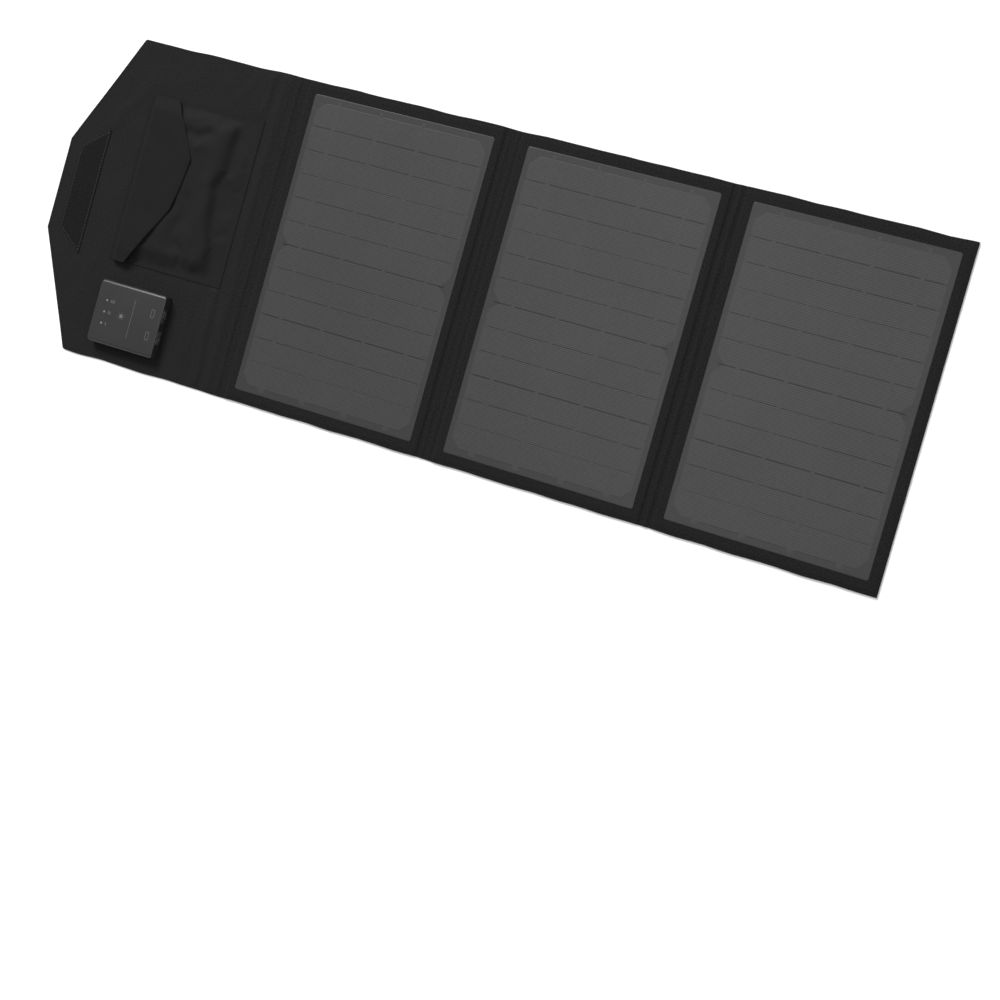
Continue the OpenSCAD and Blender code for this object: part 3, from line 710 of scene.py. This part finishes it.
pocket_z = pocket_start(PX, PY)
POCKET_TOP = np.stack([PX, PY, pocket_z], -1)
moved = simulate_pocket(pocket_z)
shift = np.clip(moved - POCKET_TOP, -MAX_SHIFT, MAX_SHIFT)
POCKET_TOP = POCKET_TOP + shift
beyond_leaf = smooth(1, 9, PX - RISER_X - np.interp(PY, LEAF_Y, LEAF_REACH))
room = POCKET_HIGH[2] - 0.1 - SOFT_TOP + OPEN_RISE * beyond_leaf
z = POCKET_TOP[..., 2]
z = np.where(z > SOFT_TOP, SOFT_TOP + room * np.tanh((z - SOFT_TOP) / room), z)
POCKET_TOP[..., 2] = np.maximum(z, FOOT_Z)
hem = 0.35 * (1 - smooth(5.0, 6.0, PX - POCKET_LOW[0])) - 0.3 * bump(PX, POCKET_LOW[0] + 4.4, 0.8)
POCKET_TOP[..., 2] += hem * smooth(0, 3, pocket_inside(PX, PY))
rim_d = np.minimum(POCKET_HIGH[0] - PX, np.minimum(PY - POCKET_LOW[1], POCKET_HIGH[1] - PY))
POCKET_TOP[..., 2] -= 0.12 * bump(rim_d, 3.4, 1.2)
pocket_under = POCKET_TOP.copy()
pocket_under[..., 2] = np.maximum(POCKET_TOP[..., 2] - SHEET_T - 0.3 * (hem > 0.1), FLAP_T + 0.01)
pocket = thick_sheet("pocket_front_cloth", POCKET_TOP, pocket_under, POCKET, 50, np.stack([PX, PY], -1))
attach(pocket, "flap_main")
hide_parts("pocket_front")


# ---- Pocket's closing flap: a root sewn down, a rise, and a leaf with a shaped free edge ----

RISE = [(-6.0, 0.0), (-4.6, 0.0), (-3.2, 0.02), (-1.8, 0.06), (-0.9, 0.17), (-0.35, 0.32), (0.0, 0.5)]
TURN = [(0.0, 0.5), (0.25, 0.66), (0.8, 0.82), (1.8, 0.94), (3.4, 1.0)]


def leaf_height(x, y):
    """Middle of the leaf's cloth, lower at both ends, and curled up at its lower free corner."""
    reach = np.interp(y, LEAF_Y, LEAF_REACH)
    u = np.clip((x - RISER_X) / reach, 0, 1)
    ends = 1 - 0.62 * smooth(84, 97, y) - 0.3 * (1 - smooth(-53, -40, y))
    body = PLATE_Z - 0.75 * u**2 * smooth(-30, 10, y) + 0.22 * ripple(x, y, 30, 11)
    curl = 1.5 * u**1.6 * (1 - smooth(-44, 6, y))
    return FOOT_Z + (body - FOOT_Z) * ends + curl


def leaf_grid(columns):
    """A grid of points from columns, functions of y that give x and the middle height."""
    ys = np.unique(np.round(np.concatenate([np.linspace(LEAF_Y[0], LEAF_Y[-1], 86),
                                            LEAF_Y[0] + np.array([0.4, 0.9]),
                                            LEAF_Y[-1] - np.array([0.4, 0.9])]), 4))
    x = np.stack([c(ys)[0] + 0 * ys for c in columns])
    h = np.stack([c(ys)[1] + 0 * ys for c in columns])
    y = np.broadcast_to(ys, x.shape)
    return x, y, h


ROOT_Z = FLAP_T + 0.22


def rise_column(step):
    def column(y):
        top = leaf_height(RISER_X + 3.4, y)
        return RISER_X + step[0], ROOT_Z + (top - ROOT_Z) * step[1]
    return column


def leaf_column(share):
    def column(y):
        reach = np.interp(y, LEAF_Y, LEAF_REACH)
        x = RISER_X + 3.4 + (reach - 3.4) * share
        return x, leaf_height(x, y)
    return column


def edge_thinning(x, y, free):
    """Half the cloth's thickness, less at its edges."""
    d = np.minimum(y - LEAF_Y[0], LEAF_Y[-1] - y)
    if free:
        d = np.minimum(d, (RISER_X + np.interp(y, LEAF_Y, LEAF_REACH) - x) * 0.85)
    rise = 1 if free else 0.25 + 0.75 * smooth(-2.2, -0.8, x - RISER_X)
    return (0.18 + 0.3 * smooth(0, 0.9, d)) * rise + 0.12 * (1 - smooth(4.6, 5.4, d)) * free \
        - 0.14 * bump(d, 2.6, 0.6) * rise


def cloth_normals(x, y, h):
    """Unit normals of a grid of points, facing up or towards low X."""
    p = np.stack([x, y, h], -1)
    n = np.cross(np.gradient(p, axis=0), np.gradient(p, axis=1))
    return n / np.linalg.norm(n, axis=-1)[..., None]


root_columns = [rise_column(s) for s in RISE]
shares = np.concatenate([np.linspace(0, 0.9, 22), 1 - np.array([0.085, 0.065, 0.045, 0.03, 0.015, 0.006, 0])])
leaf_columns = [rise_column(s) for s in TURN] + [leaf_column(s) for s in shares[1:]]
for name, columns, bodies, start, end, node, free in (
        ("pocket_flap_root", root_columns, ("flap_main", "pocket_riser"), (-4.0, 1.9), (0.0, 3.3),
         "pocket_flap_riser", False),
        ("pocket_flap_leaf", leaf_columns, ("pocket_riser", "pocket_flap"), (0.15, 5.0), (3.0, 7.4),
         "pocket_flap", True)):
    x, y, h = leaf_grid(columns)
    normal = cloth_normals(x, y, h)
    half = edge_thinning(x, y, free)[..., None]
    middle = np.stack([x, y, h], -1)
    under = middle - normal * half
    under[..., 2] = np.maximum(under[..., 2], FLAP_T + 0.02)
    run = np.concatenate([np.zeros((1, y.shape[1])),
                          np.cumsum(np.linalg.norm(np.diff(middle, axis=0), axis=-1), 0)])
    uv = np.stack([x[0] + run, y], -1)
    piece = thick_sheet(name, middle + normal * half, under, LEAF, 50, uv)
    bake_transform(piece)
    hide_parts(node)
    area = np.trapz(run[-1], y[0]) / MM**2
    if free:
        LEAF_GRID = (x, y, h + half[..., 0])


# ---- Hook tape on the flap's tip, loop tape under panel 2 ----

HOOK_SHORT, HOOK_LONG = 37.0, 57.0
TAPE_BASE = 0.75


def tiny_rings(centres, offsets, radius, sides=3):
    """Bent hairs: offsets are (dx, dy, dz, share of the radius) from root to tip."""
    around = [(math.cos(TAU * k / sides), math.sin(TAU * k / sides)) for k in range(sides)]
    template = np.array([(dx + radius * share * c, dy + radius * share * s, dz)
                         for dx, dy, dz, share in offsets for c, s in around])
    verts = (centres[:, None, :] + template[None]).reshape(-1, 3)
    faces, rings = [], len(offsets)
    base = [tuple(range(sides - 1, -1, -1))]
    for r in range(rings - 1):
        for k in range(sides):
            a, b = r * sides + k, r * sides + (k + 1) % sides
            base.append((a, b, b + sides, a + sides))
    base.append(tuple(range((rings - 1) * sides, rings * sides)))
    for c in range(len(centres)):
        faces += [tuple(v + c * len(template) for v in f) for f in base]
    return verts, faces


def scatter(low, high, pitch, seed, keep):
    rng = np.random.default_rng(seed)
    xs = np.arange(low[0], high[0], pitch[0])
    ys = np.arange(low[1], high[1], pitch[1])
    x, y = [a.ravel() for a in np.meshgrid(xs, ys, indexing="ij")]
    x, y = x + rng.uniform(-0.15, 0.15, x.size), y + rng.uniform(-0.2, 0.2, y.size)
    kept = keep(x, y)
    return x[kept], y[kept]


def hook_half(x):
    return HOOK_SHORT + (HOOK_LONG - HOOK_SHORT) * (x - HOOK_LOW[0]) / (HOOK_HIGH[0] - HOOK_LOW[0])


def tape_ground(d, x, y):
    """Height of the tape's ground over its back: a flat selvedge and a ribbed middle."""
    rib = 0.06 * np.sin(y * TAU / 2.6) * smooth(1.9, 2.6, d)
    return TAPE_BASE + rib - 0.25 * (1 - smooth(0, 0.7, d)) + 0.12 * smooth(1.9, 2.5, d)


xs = lines((HOOK_LOW[0], HOOK_LOW[0] + 3, 0.4), (HOOK_LOW[0] + 3, HOOK_HIGH[0] - 3, 1.2),
           (HOOK_HIGH[0] - 3, HOOK_HIGH[0], 0.4))
vs = lines((-1, -0.95, 0.008), (-0.95, 0.95, 0.012), (0.95, 1, 0.008))
x, v = np.meshgrid(xs, vs, indexing="ij")
y = v * hook_half(x)
d = np.minimum(np.minimum(x - HOOK_LOW[0], HOOK_HIGH[0] - x), (hook_half(x) - np.abs(y)) * 0.78)
base_z = cover_top(x, y)
top = np.maximum(base_z, FLAP_T) + tape_ground(d, x, y)
tape = thick_sheet("hook_tape_ground", np.stack([x, y, top], -1), np.stack([x, y, base_z - 0.15], -1), HOOKS)
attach(tape, "flap_tip")
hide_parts("hook_tape")
hx, hy = scatter((HOOK_LOW[0] + 2.8, -HOOK_LONG), (HOOK_HIGH[0] - 2.6, HOOK_LONG), (1.25, 1.3), 21,
                 lambda x, y: np.abs(y) < hook_half(x) - 3.4)
hz = np.maximum(cover_top(hx, hy), FLAP_T) + TAPE_BASE + 0.06
v, f = tiny_rings(np.column_stack([hx, hy, hz]),
                  [(0, 0, 0, 1.1), (0.05, 0, 0.32, 1), (0.2, 0.05, 0.5, 0.9), (0.4, 0.1, 0.42, 0.6)], 0.13)
hooks = mesh_object("hook_tape_hooks", v, f, HOOK_PLASTIC, angle=80)
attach(hooks, "flap_tip")

xs = lines((LOOP_LOW[0], LOOP_LOW[0] + 2.4, 0.4), (LOOP_LOW[0] + 2.4, LOOP_HIGH[0] - 2.4, 1.3),
           (LOOP_HIGH[0] - 2.4, LOOP_HIGH[0], 0.4))
ys = lines((LOOP_LOW[1], LOOP_LOW[1] + 2.4, 0.4), (LOOP_LOW[1] + 2.4, LOOP_HIGH[1] - 2.4, 1.3),
           (LOOP_HIGH[1] - 2.4, LOOP_HIGH[1], 0.4))
x, y = np.meshgrid(xs, ys, indexing="ij")
d = np.minimum(np.minimum(x - LOOP_LOW[0], LOOP_HIGH[0] - x), np.minimum(y - LOOP_LOW[1], LOOP_HIGH[1] - y))
pile = 0.2 - 0.1 * smooth(1.6, 2.4, d) + 0.05 * ripple(x, y, 3, 31) * smooth(1.6, 2.4, d)
pile = pile + 0.12 * (1 - smooth(0, 0.5, d))
tape = thick_sheet("loop_tape_ground", np.stack([x, y, np.full_like(x, COVER_T - 0.08)], -1),
                   np.stack([x, y, np.clip(pile, 0.02, 0.36)], -1), LOOPS)
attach(tape, "panel_2")
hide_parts("loop_tape")
lx, ly = scatter((LOOP_LOW[0] + 2.6, LOOP_LOW[1] + 2.6), (LOOP_HIGH[0] - 2.6, LOOP_HIGH[1] - 2.6),
                 (1.5, 1.5), 22, lambda x, y: x < 1e9)
v, f = tiny_rings(np.column_stack([lx, ly, np.full_like(lx, 0.16)]),
                  [(0.5, 0.1, 0, 0.9), (0.3, 0.05, -0.1, 1), (0, 0, -0.14, 1), (-0.35, 0, -0.1, 1),
                   (-0.55, 0, 0, 0.9)], 0.1)
loops = mesh_object("loop_tape_pile", v, f, LOOPS, uv=v[:, :2], angle=80)
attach(loops, "panel_2")


# ---- Regulator box ----

BOX_R, PLAN_R, END_R, WALL = 3.0, 2.4, 0.8, 1.5
BOX_Y = (BOX_LOW[1] + BOX_HIGH[1]) / 2
BOX_X = (BOX_LOW[0] + BOX_HIGH[0]) / 2
BOX_W = (BOX_HIGH[1] - BOX_LOW[1]) / 2


def box_section(half, z0, z1, r, steps=12):
    """The section across X, counter-clockwise seen from high X: round long top edges."""
    points = [(-half, z0), (half, z0)]
    for k in range(steps + 1):
        a = TAU * 0.25 * k / steps
        points.append((half - r + r * math.cos(a), z1 - r + r * math.sin(a)))
    for k in range(steps + 1):
        a = TAU * 0.25 * (1 + k / steps)
        points.append((-half + r + r * math.cos(a), z1 - r + r * math.sin(a)))
    return points


def quarter(r, t):
    return r - math.sqrt(max(r * r - (r - t) ** 2, 0)) if t < r else 0.0


def box_form(x0, x1, half, z0, z1, r, plan_r, end_r):
    """A box with round long top edges, corners of radius plan_r seen from above, and softened ends."""
    steps = sorted({0.0, 0.08, 0.25, 0.5, end_r, 0.6 * plan_r, plan_r})
    stations = [(x0 + t, t) for t in steps] + [(x1 - t, t) for t in reversed(steps)]
    rings = []
    for x, t in stations:
        section = box_section(half - quarter(plan_r, t), z0, z1 - quarter(end_r, t), r)
        rings.append(np.array([(x, BOX_Y + y, z) for y, z in section]))
    return loft(rings)


def cut_away(target, cutters):
    """The target's mesh with each cutter taken out of it."""
    for v, f in cutters:
        cutter = mesh_object("cutter", v, f, BOX_PLASTIC)
        change = target.modifiers.new("cut", "BOOLEAN")
        change.operation, change.solver, change.object = "DIFFERENCE", "EXACT", cutter
        done = bpy.data.meshes.new_from_object(
            target.evaluated_get(bpy.context.evaluated_depsgraph_get()))
        target.modifiers.clear()
        target.data = done
        bpy.data.objects.remove(cutter)
    target.data.shade_smooth()
    target.data.set_sharp_from_angle(angle=math.radians(32))


def block(x0, x1, y0, y1, z0, z1):
    outline = np.array([(x0, y0), (x1, y0), (x1, y1), (x0, y1)])
    return loft([np.column_stack([outline, np.full(4, z)]) for z in (z0, z1)])


def tube(cx, cy, r, z0, z1, sides=24):
    a = np.arange(sides) * TAU / sides
    ring = np.column_stack([cx + r * np.cos(a), cy + r * np.sin(a)])
    return loft([np.column_stack([ring, np.full(sides, z)]) for z in (z0, z1)])


USB_LOW, USB_HIGH = box_mm("usb_shells")
USB_W = 13.1
usb_ys = [USB_LOW[1] + USB_W / 2, USB_HIGH[1] - USB_W / 2]
mouths = [block(USB_LOW[0] - 0.1, USB_HIGH[0] + 1, y - USB_W / 2 - 0.1, y + USB_W / 2 + 0.1,
                USB_LOW[2] - 0.1, USB_HIGH[2] + 0.1) for y in usb_ys]
pipe_x = (PIPES_LOW[0] + PIPES_HIGH[0]) / 2
pipe_r = (PIPES_HIGH[0] - PIPES_LOW[0]) / 2
pipe_ys = [PIPES_LOW[1] + pipe_r, BOX_Y, PIPES_HIGH[1] - pipe_r]

v, f = box_form(BOX_LOW[0], BOX_HIGH[0], BOX_W, SPLIT_Z + 0.14, BOX_HIGH[2], BOX_R, PLAN_R, END_R)
cover = mesh_object("regulator_cover", v, f, BOX_PLASTIC)
inner = box_form(BOX_LOW[0] + WALL, BOX_HIGH[0] - WALL, BOX_W - WALL, SPLIT_Z - 1, BOX_HIGH[2] - WALL + 0.1,
                 1.5, 0.9, 0.4)
pipe_holes = [tube(pipe_x, y, pipe_r + 0.05, SPLIT_Z, BOX_HIGH[2] + 1) for y in pipe_ys]
cut_away(cover, [inner, *mouths, *pipe_holes])

ring_levels = [(BOX_LOW[2] + 0.01, 0.5), (BOX_LOW[2] + 0.5, 0.28), (SPLIT_Z - 0.4, 0.22),
               (SPLIT_Z - 0.12, 0.3), (SPLIT_Z, 0.62)]
base_outline = round_outline(BOX_LOW[0], BOX_HIGH[0], BOX_LOW[1], BOX_HIGH[1], PLAN_R)
v, f = plate(base_outline, ring_levels)
base = mesh_object("regulator_base", v, f, BASE_PLASTIC)
well = block(BOX_LOW[0] + WALL, BOX_HIGH[0] - WALL, BOX_LOW[1] + WALL, BOX_HIGH[1] - WALL, BOX_LOW[2] + 1.2,
             SPLIT_Z + 1)
cut_away(base, [well, *mouths])
for piece, node in ((cover, "box_cover"), (base, "box_base")):
    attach(piece, "flap_main")
    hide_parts(node)

# Generic marks: charge bars beside each lamp, an outline for each socket, a rule and a sun.
TOP_Z = BOX_HIGH[2]
MARK_LEVELS = [(TOP_Z - 0.05, 0), (TOP_Z + 0.04, 0), (TOP_Z + 0.05, 0.05)]
forms = []
for k, y in enumerate(pipe_ys):
    for b in range(k + 1):
        x = pipe_x + 4.2 + 1.5 * b
        forms.append(plate(round_outline(x - 0.3, x + 0.3, y - 1.5, y + 1.5, 0.28, 3), MARK_LEVELS))
for y in usb_ys:
    x = BOX_HIGH[0] - 9
    for r0, x0, x1 in ((3.6, x - 1.6, x - 1.25), (3.6, x + 1.25, x + 1.6)):
        forms.append(plate(round_outline(x0, x1, y - r0, y + r0, 0.15, 2), MARK_LEVELS))
    for y0 in (y - 3.6, y + 3.25):
        forms.append(plate(round_outline(x - 1.2, x + 1.2, y0, y0 + 0.35, 0.15, 2), MARK_LEVELS))
forms.append(plate(round_outline(BOX_X + 4.3, BOX_X + 4.6, BOX_Y - 17, BOX_Y + 17, 0.14, 2), MARK_LEVELS))
forms.append(plate(round_outline(BOX_X - 7.2, BOX_X - 3.8, BOX_Y - 1.7, BOX_Y + 1.7, 1.69, 5), MARK_LEVELS))
for k in range(8):
    a = TAU * k / 8
    ray = np.array([(2.5, -0.17), (3.7, -0.17), (3.7, 0.17), (2.5, 0.17)])
    ray = np.column_stack([ray[:, 0] * math.cos(a) - ray[:, 1] * math.sin(a) + BOX_X - 5.5,
                           ray[:, 0] * math.sin(a) + ray[:, 1] * math.cos(a) + BOX_Y])
    forms.append(plate(ray, MARK_LEVELS))
v, f = join_forms(forms)
marks = mesh_object("regulator_marks", v, f, MARKS)
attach(marks, "flap_main")


# ---- Stitching ----

STITCH, STITCH_R = 2.3, 0.24
SPACING, POCKET_SPACING, TAPE_SPACING = 3.2, 2.9, 2.8


def spaced(points, spacing, closed=False):
    """Centres and headings at even spacing along a path in the plane."""
    p = np.asarray(points, float)
    if closed:
        p = np.vstack([p, p[:1]])
    centres, headings = [], []
    for a, b in zip(p[:-1], p[1:]):
        length = np.linalg.norm(b - a)
        count = max(1, int(round(length / spacing)))
        t = (np.arange(count) + 0.5) / count
        centres.append(a + (b - a) * t[:, None])
        headings.append(np.full(count, math.atan2(*(b - a)[::-1])))
    return np.concatenate(centres), np.concatenate(headings)


def stitch_mesh(centres, headings, heights, below=False):
    """A short thread at each place, lying on the cloth with both ends drawn into it."""
    sides, r, down = 6, STITCH_R, -1 if below else 1
    profile = [(-0.5, 0.35, -0.75), (-0.38, 0.9, -0.15), (-0.12, 1.05, 0.2), (0.12, 1.05, 0.2),
               (0.38, 0.9, -0.15), (0.5, 0.35, -0.75)]
    around = [(math.cos(TAU * k / sides), math.sin(TAU * k / sides)) for k in range(sides)]
    template = np.array([(s * STITCH, r * w * c, r * (h + w * n)) for s, w, h in profile for c, n in around])
    template[:, 2] *= down
    cos, sin = np.cos(headings)[:, None], np.sin(headings)[:, None]
    x = centres[:, :1] + template[:, 0] * cos - template[:, 1] * sin
    y = centres[:, 1:] + template[:, 0] * sin + template[:, 1] * cos
    z = np.asarray(heights)[:, None] + np.broadcast_to(template[:, 2], x.shape)
    verts = np.stack([x, y, z], -1).reshape(-1, 3)
    rings = len(profile)
    base = [tuple(range(sides)) if not below else tuple(range(sides - 1, -1, -1))]
    for k in range(rings - 1):
        for s in range(sides):
            a, b = k * sides + s, k * sides + (s + 1) % sides
            base.append((a, a + sides, b + sides, b) if not below else (a, b, b + sides, a + sides))
    last = tuple(range((rings - 1) * sides, rings * sides))
    base.append(last[::-1] if not below else last)
    faces = []
    for c in range(len(centres)):
        faces += [tuple(v + c * len(template) for v in f) for f in base]
    return verts, faces


sewn_outline = inset(OUTLINE, 2.4)
rows = [spaced(sewn_outline, SPACING, closed=True)]
seam_ends = HALF_Y - 4
for x in (BLOCKS[0][0][0] - 0.45, BLOCKS[0][1][0] + 0.45, BLOCKS[1][0][0] - 0.45, BLOCKS[1][1][0] + 0.45,
          BLOCKS[2][0][0] - 0.45):
    rows.append(spaced([(x, -seam_ends), (x, seam_ends)], SPACING))
centres = np.concatenate([c for c, _ in rows])
headings = np.concatenate([h for _, h in rows])
tops = cover_top(centres[:, 0], centres[:, 1])
unders = cover_under(centres[:, 0], centres[:, 1])
for name, xs, bodies, pivot, reach, _ in SECTIONS:
    here = (centres[:, 0] >= xs[0]) & (centres[:, 0] < xs[-1])
    v1, f1 = stitch_mesh(centres[here], headings[here], tops[here])
    v2, f2 = stitch_mesh(centres[here], headings[here], unders[here] + 0.16, below=True)
    v2[:, 2] = np.maximum(v2[:, 2], 0.0)
    v, f = join_forms([(v1, f1), (v2, f2)])
    piece = mesh_object(name.replace("cloth", "stitches"), v, f, THREAD, angle=80)
    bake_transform(piece)


def grid_height(grid_x, grid_y, grid_z, x, y):
    """The height of a sheet over the nearest grid point."""
    near = ((grid_x.ravel()[None] - x[:, None]) ** 2 + (grid_y.ravel()[None] - y[:, None]) ** 2).argmin(1)
    return grid_z.ravel()[near]


p0, p1 = POCKET_LOW, POCKET_HIGH
mouth = p0[0] + 1
pocket_rows = [spaced([(mouth, p1[1] - 1.4), (p1[0] - 1.4, p1[1] - 1.4), (p1[0] - 1.4, p0[1] + 1.4),
                       (mouth, p0[1] + 1.4)], POCKET_SPACING),
               spaced([(mouth, p1[1] - 3.6), (p1[0] - 3.4, p1[1] - 3.6)], POCKET_SPACING),
               spaced([(p0[0] + 4.4, p0[1] + 8), (p0[0] + 4.4, p1[1] - 8)], POCKET_SPACING)]
c = np.concatenate([r[0] for r in pocket_rows])
h = np.concatenate([r[1] for r in pocket_rows])
v, f = stitch_mesh(c, h, grid_height(PX, PY, POCKET_TOP[..., 2], c[:, 0], c[:, 1]))
c2, h2 = spaced([(RISER_X - 3.8, LEAF_Y[0] + 1), (RISER_X - 3.8, LEAF_Y[-1] - 1)], POCKET_SPACING)
v2, f2 = stitch_mesh(c2, h2, np.full(len(c2), ROOT_Z + 0.02))
v, f = join_forms([(v, f), (v2, f2)])
piece = mesh_object("pocket_stitches", v, f, THREAD, angle=80)
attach(piece, "flap_main")

free_edge = [(RISER_X + r, y) for y, r in zip(LEAF_Y, LEAF_REACH)]
path = [(RISER_X + 4, LEAF_Y[0] + 2.6)] + [(x - 3.0, min(max(y, LEAF_Y[0] + 2.6), LEAF_Y[-1] - 2.6))
                                           for x, y in free_edge] + [(RISER_X + 4, LEAF_Y[-1] - 2.6)]
c, h = spaced(path, POCKET_SPACING)
v, f = stitch_mesh(c, h, grid_height(*LEAF_GRID, c[:, 0], c[:, 1]))
piece = mesh_object("pocket_flap_stitches", v, f, THREAD, angle=80)
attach(piece, "pocket_flap")

tape_outline = [(HOOK_LOW[0], -HOOK_SHORT), (HOOK_HIGH[0], -HOOK_LONG), (HOOK_HIGH[0], HOOK_LONG),
                (HOOK_LOW[0], HOOK_SHORT)]
c, h = spaced(inset(tape_outline, 1.2), TAPE_SPACING, closed=True)
v, f = stitch_mesh(c, h, np.maximum(cover_top(c[:, 0], c[:, 1]), FLAP_T) + TAPE_BASE - 0.02)
piece = mesh_object("hook_tape_stitches", v, f, PALE_THREAD, angle=80)
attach(piece, "flap_tip")
loop_outline = [(LOOP_LOW[0], LOOP_LOW[1]), (LOOP_HIGH[0], LOOP_LOW[1]), (LOOP_HIGH[0], LOOP_HIGH[1]),
                (LOOP_LOW[0], LOOP_HIGH[1])]
c, h = spaced(inset(loop_outline, 1.1), TAPE_SPACING, closed=True)
v, f = stitch_mesh(c, h, np.full(len(c), 0.22), below=True)
v[:, 2] = np.maximum(v[:, 2], 0.0)
piece = mesh_object("loop_tape_stitches", v, f, PALE_THREAD, angle=80)
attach(piece, "panel_2")


# ---- Materials of the CAD parts that stay ----

STEEL = hard("steel", grey(0.45), grey(0.62), 500.0, (0.22, 0.38), 0.01, metallic=1.0)
CARRIED = {
    "stiffener_board": hard("board", grey(0.09), grey(0.14), 300.0, (0.6, 0.8), 0.03),
    "backsheet": hard("backsheet", grey(0.015), grey(0.025), 500.0, (0.4, 0.5), 0.01),
    "solar_cells": hard("silicon", (0.02, 0.024, 0.04), (0.035, 0.04, 0.065), 250.0, (0.2, 0.35), 0.004),
    "tab_ribbons": hard("tinned_ribbon", grey(0.5), grey(0.68), 700.0, (0.25, 0.4), 0.01, metallic=1.0),
    "bus_bars": hard("bus_bar", grey(0.5), grey(0.66), 500.0, (0.28, 0.42), 0.01, metallic=1.0),
    "leads": hard("copper", (0.55, 0.25, 0.13), (0.75, 0.38, 0.22), 600.0, (0.25, 0.45), 0.01, metallic=1.0),
    "circuit_board": hard("solder_mask", (0.01, 0.07, 0.03), (0.02, 0.12, 0.05), 800.0, (0.25, 0.4), 0.01,
                          coat_weight=0.4),
    "usb_shells": STEEL,
    "usb_tongues": hard("tongue_plastic", grey(0.6), grey(0.75), 900.0, (0.45, 0.6), 0.01),
    "inductor": hard("ferrite", grey(0.02), grey(0.04), 1600.0, (0.5, 0.7), 0.03),
    "capacitors": hard("can", grey(0.55), grey(0.72), 400.0, (0.25, 0.35), 0.008, metallic=1.0),
    "chips": hard("chip", grey(0.01), grey(0.022), 1800.0, (0.45, 0.6), 0.015),
    "indicator_leds": hard("led_lens", (0.55, 0.62, 0.5), (0.75, 0.82, 0.7), 600.0, (0.1, 0.2), 0.004),
    "light_pipes": hard("light_pipe", grey(0.14), grey(0.22), 600.0, (0.15, 0.3), 0.004),
    "box_screws": hard("screw", grey(0.2), grey(0.3), 900.0, (0.3, 0.45), 0.01, metallic=1.0),
    "lead_pins": hard("pin", (0.6, 0.45, 0.2), (0.75, 0.58, 0.3), 900.0, (0.3, 0.4), 0.01, metallic=1.0),
}
for name, node in frame["nodes"].items():
    kind = next((k for k in CARRIED if name.startswith(k)), "leads" if "leads" in name else None)
    if kind and not node.hide_render:
        node.data.materials.clear()
        node.data.materials.append(CARRIED[kind])


# ---- Camera, floor and light ----

# The photograph's view: place from the part's centre in metres, and turns about X, Y and Z in degrees.
CAMERA_PLACE, CAMERA_TURN = (0.4366, -0.0294, 1.3214), (2.550, 15.843, 16.368)
centre = (Vector(CAD_BOX[0]) + Vector(CAD_BOX[1])) / 2
camera = bpy.data.objects.new("camera", bpy.data.cameras.new("camera"))
bpy.context.scene.collection.objects.link(camera)
camera.data.sensor_width, camera.data.lens, camera.data.shift_y = 36.0, 60.4, -0.1
camera.location = centre + Vector(CAMERA_PLACE)
camera.rotation_euler = [math.radians(a) for a in CAMERA_TURN]
camera.data.clip_start, camera.data.clip_end = 0.05, 30
bpy.context.scene.camera = camera
bpy.context.scene.view_settings.view_transform = "Standard"

FLOOR_HALF, FLOOR_Z = 6000, -0.3
floor_verts = [(x, y, FLOOR_Z) for x, y in ((-FLOOR_HALF, -FLOOR_HALF), (FLOOR_HALF, -FLOOR_HALF),
                                            (FLOOR_HALF, FLOOR_HALF), (-FLOOR_HALF, FLOOR_HALF))]
floor_paint = hard("floor_paint", grey(0.86), grey(0.9), 6.0, (0.7, 0.8), 0.0)
floor = mesh_object("floor", floor_verts, [(0, 1, 2, 3)], floor_paint)

world = bpy.data.worlds.new("studio")
bpy.context.scene.world = world
world.use_nodes = True
world.node_tree.nodes["Background"].inputs[0].default_value = (1, 1, 1, 1)
world.node_tree.nodes["Background"].inputs[1].default_value = 0.46


def softbox(name, direction, distance, size, power):
    light = bpy.data.lights.new(name, "AREA")
    light.shape, light.size, light.energy = "DISK", size, power
    obj = bpy.data.objects.new(name, light)
    bpy.context.scene.collection.objects.link(obj)
    along = Vector(direction).normalized()
    obj.location = centre + along * distance
    obj.rotation_mode = "QUATERNION"
    obj.rotation_quaternion = along.to_track_quat("Z", "Y")


softbox("key", (-0.62, 1.0, 1.05), 4.5, 2.0, 225)
softbox("fill", (0.9, 0.2, 1.3), 4.0, 2.5, 26)
softbox("overhead", (-0.06, 0.02, 1.0), 3.0, 1.2, 7.5)
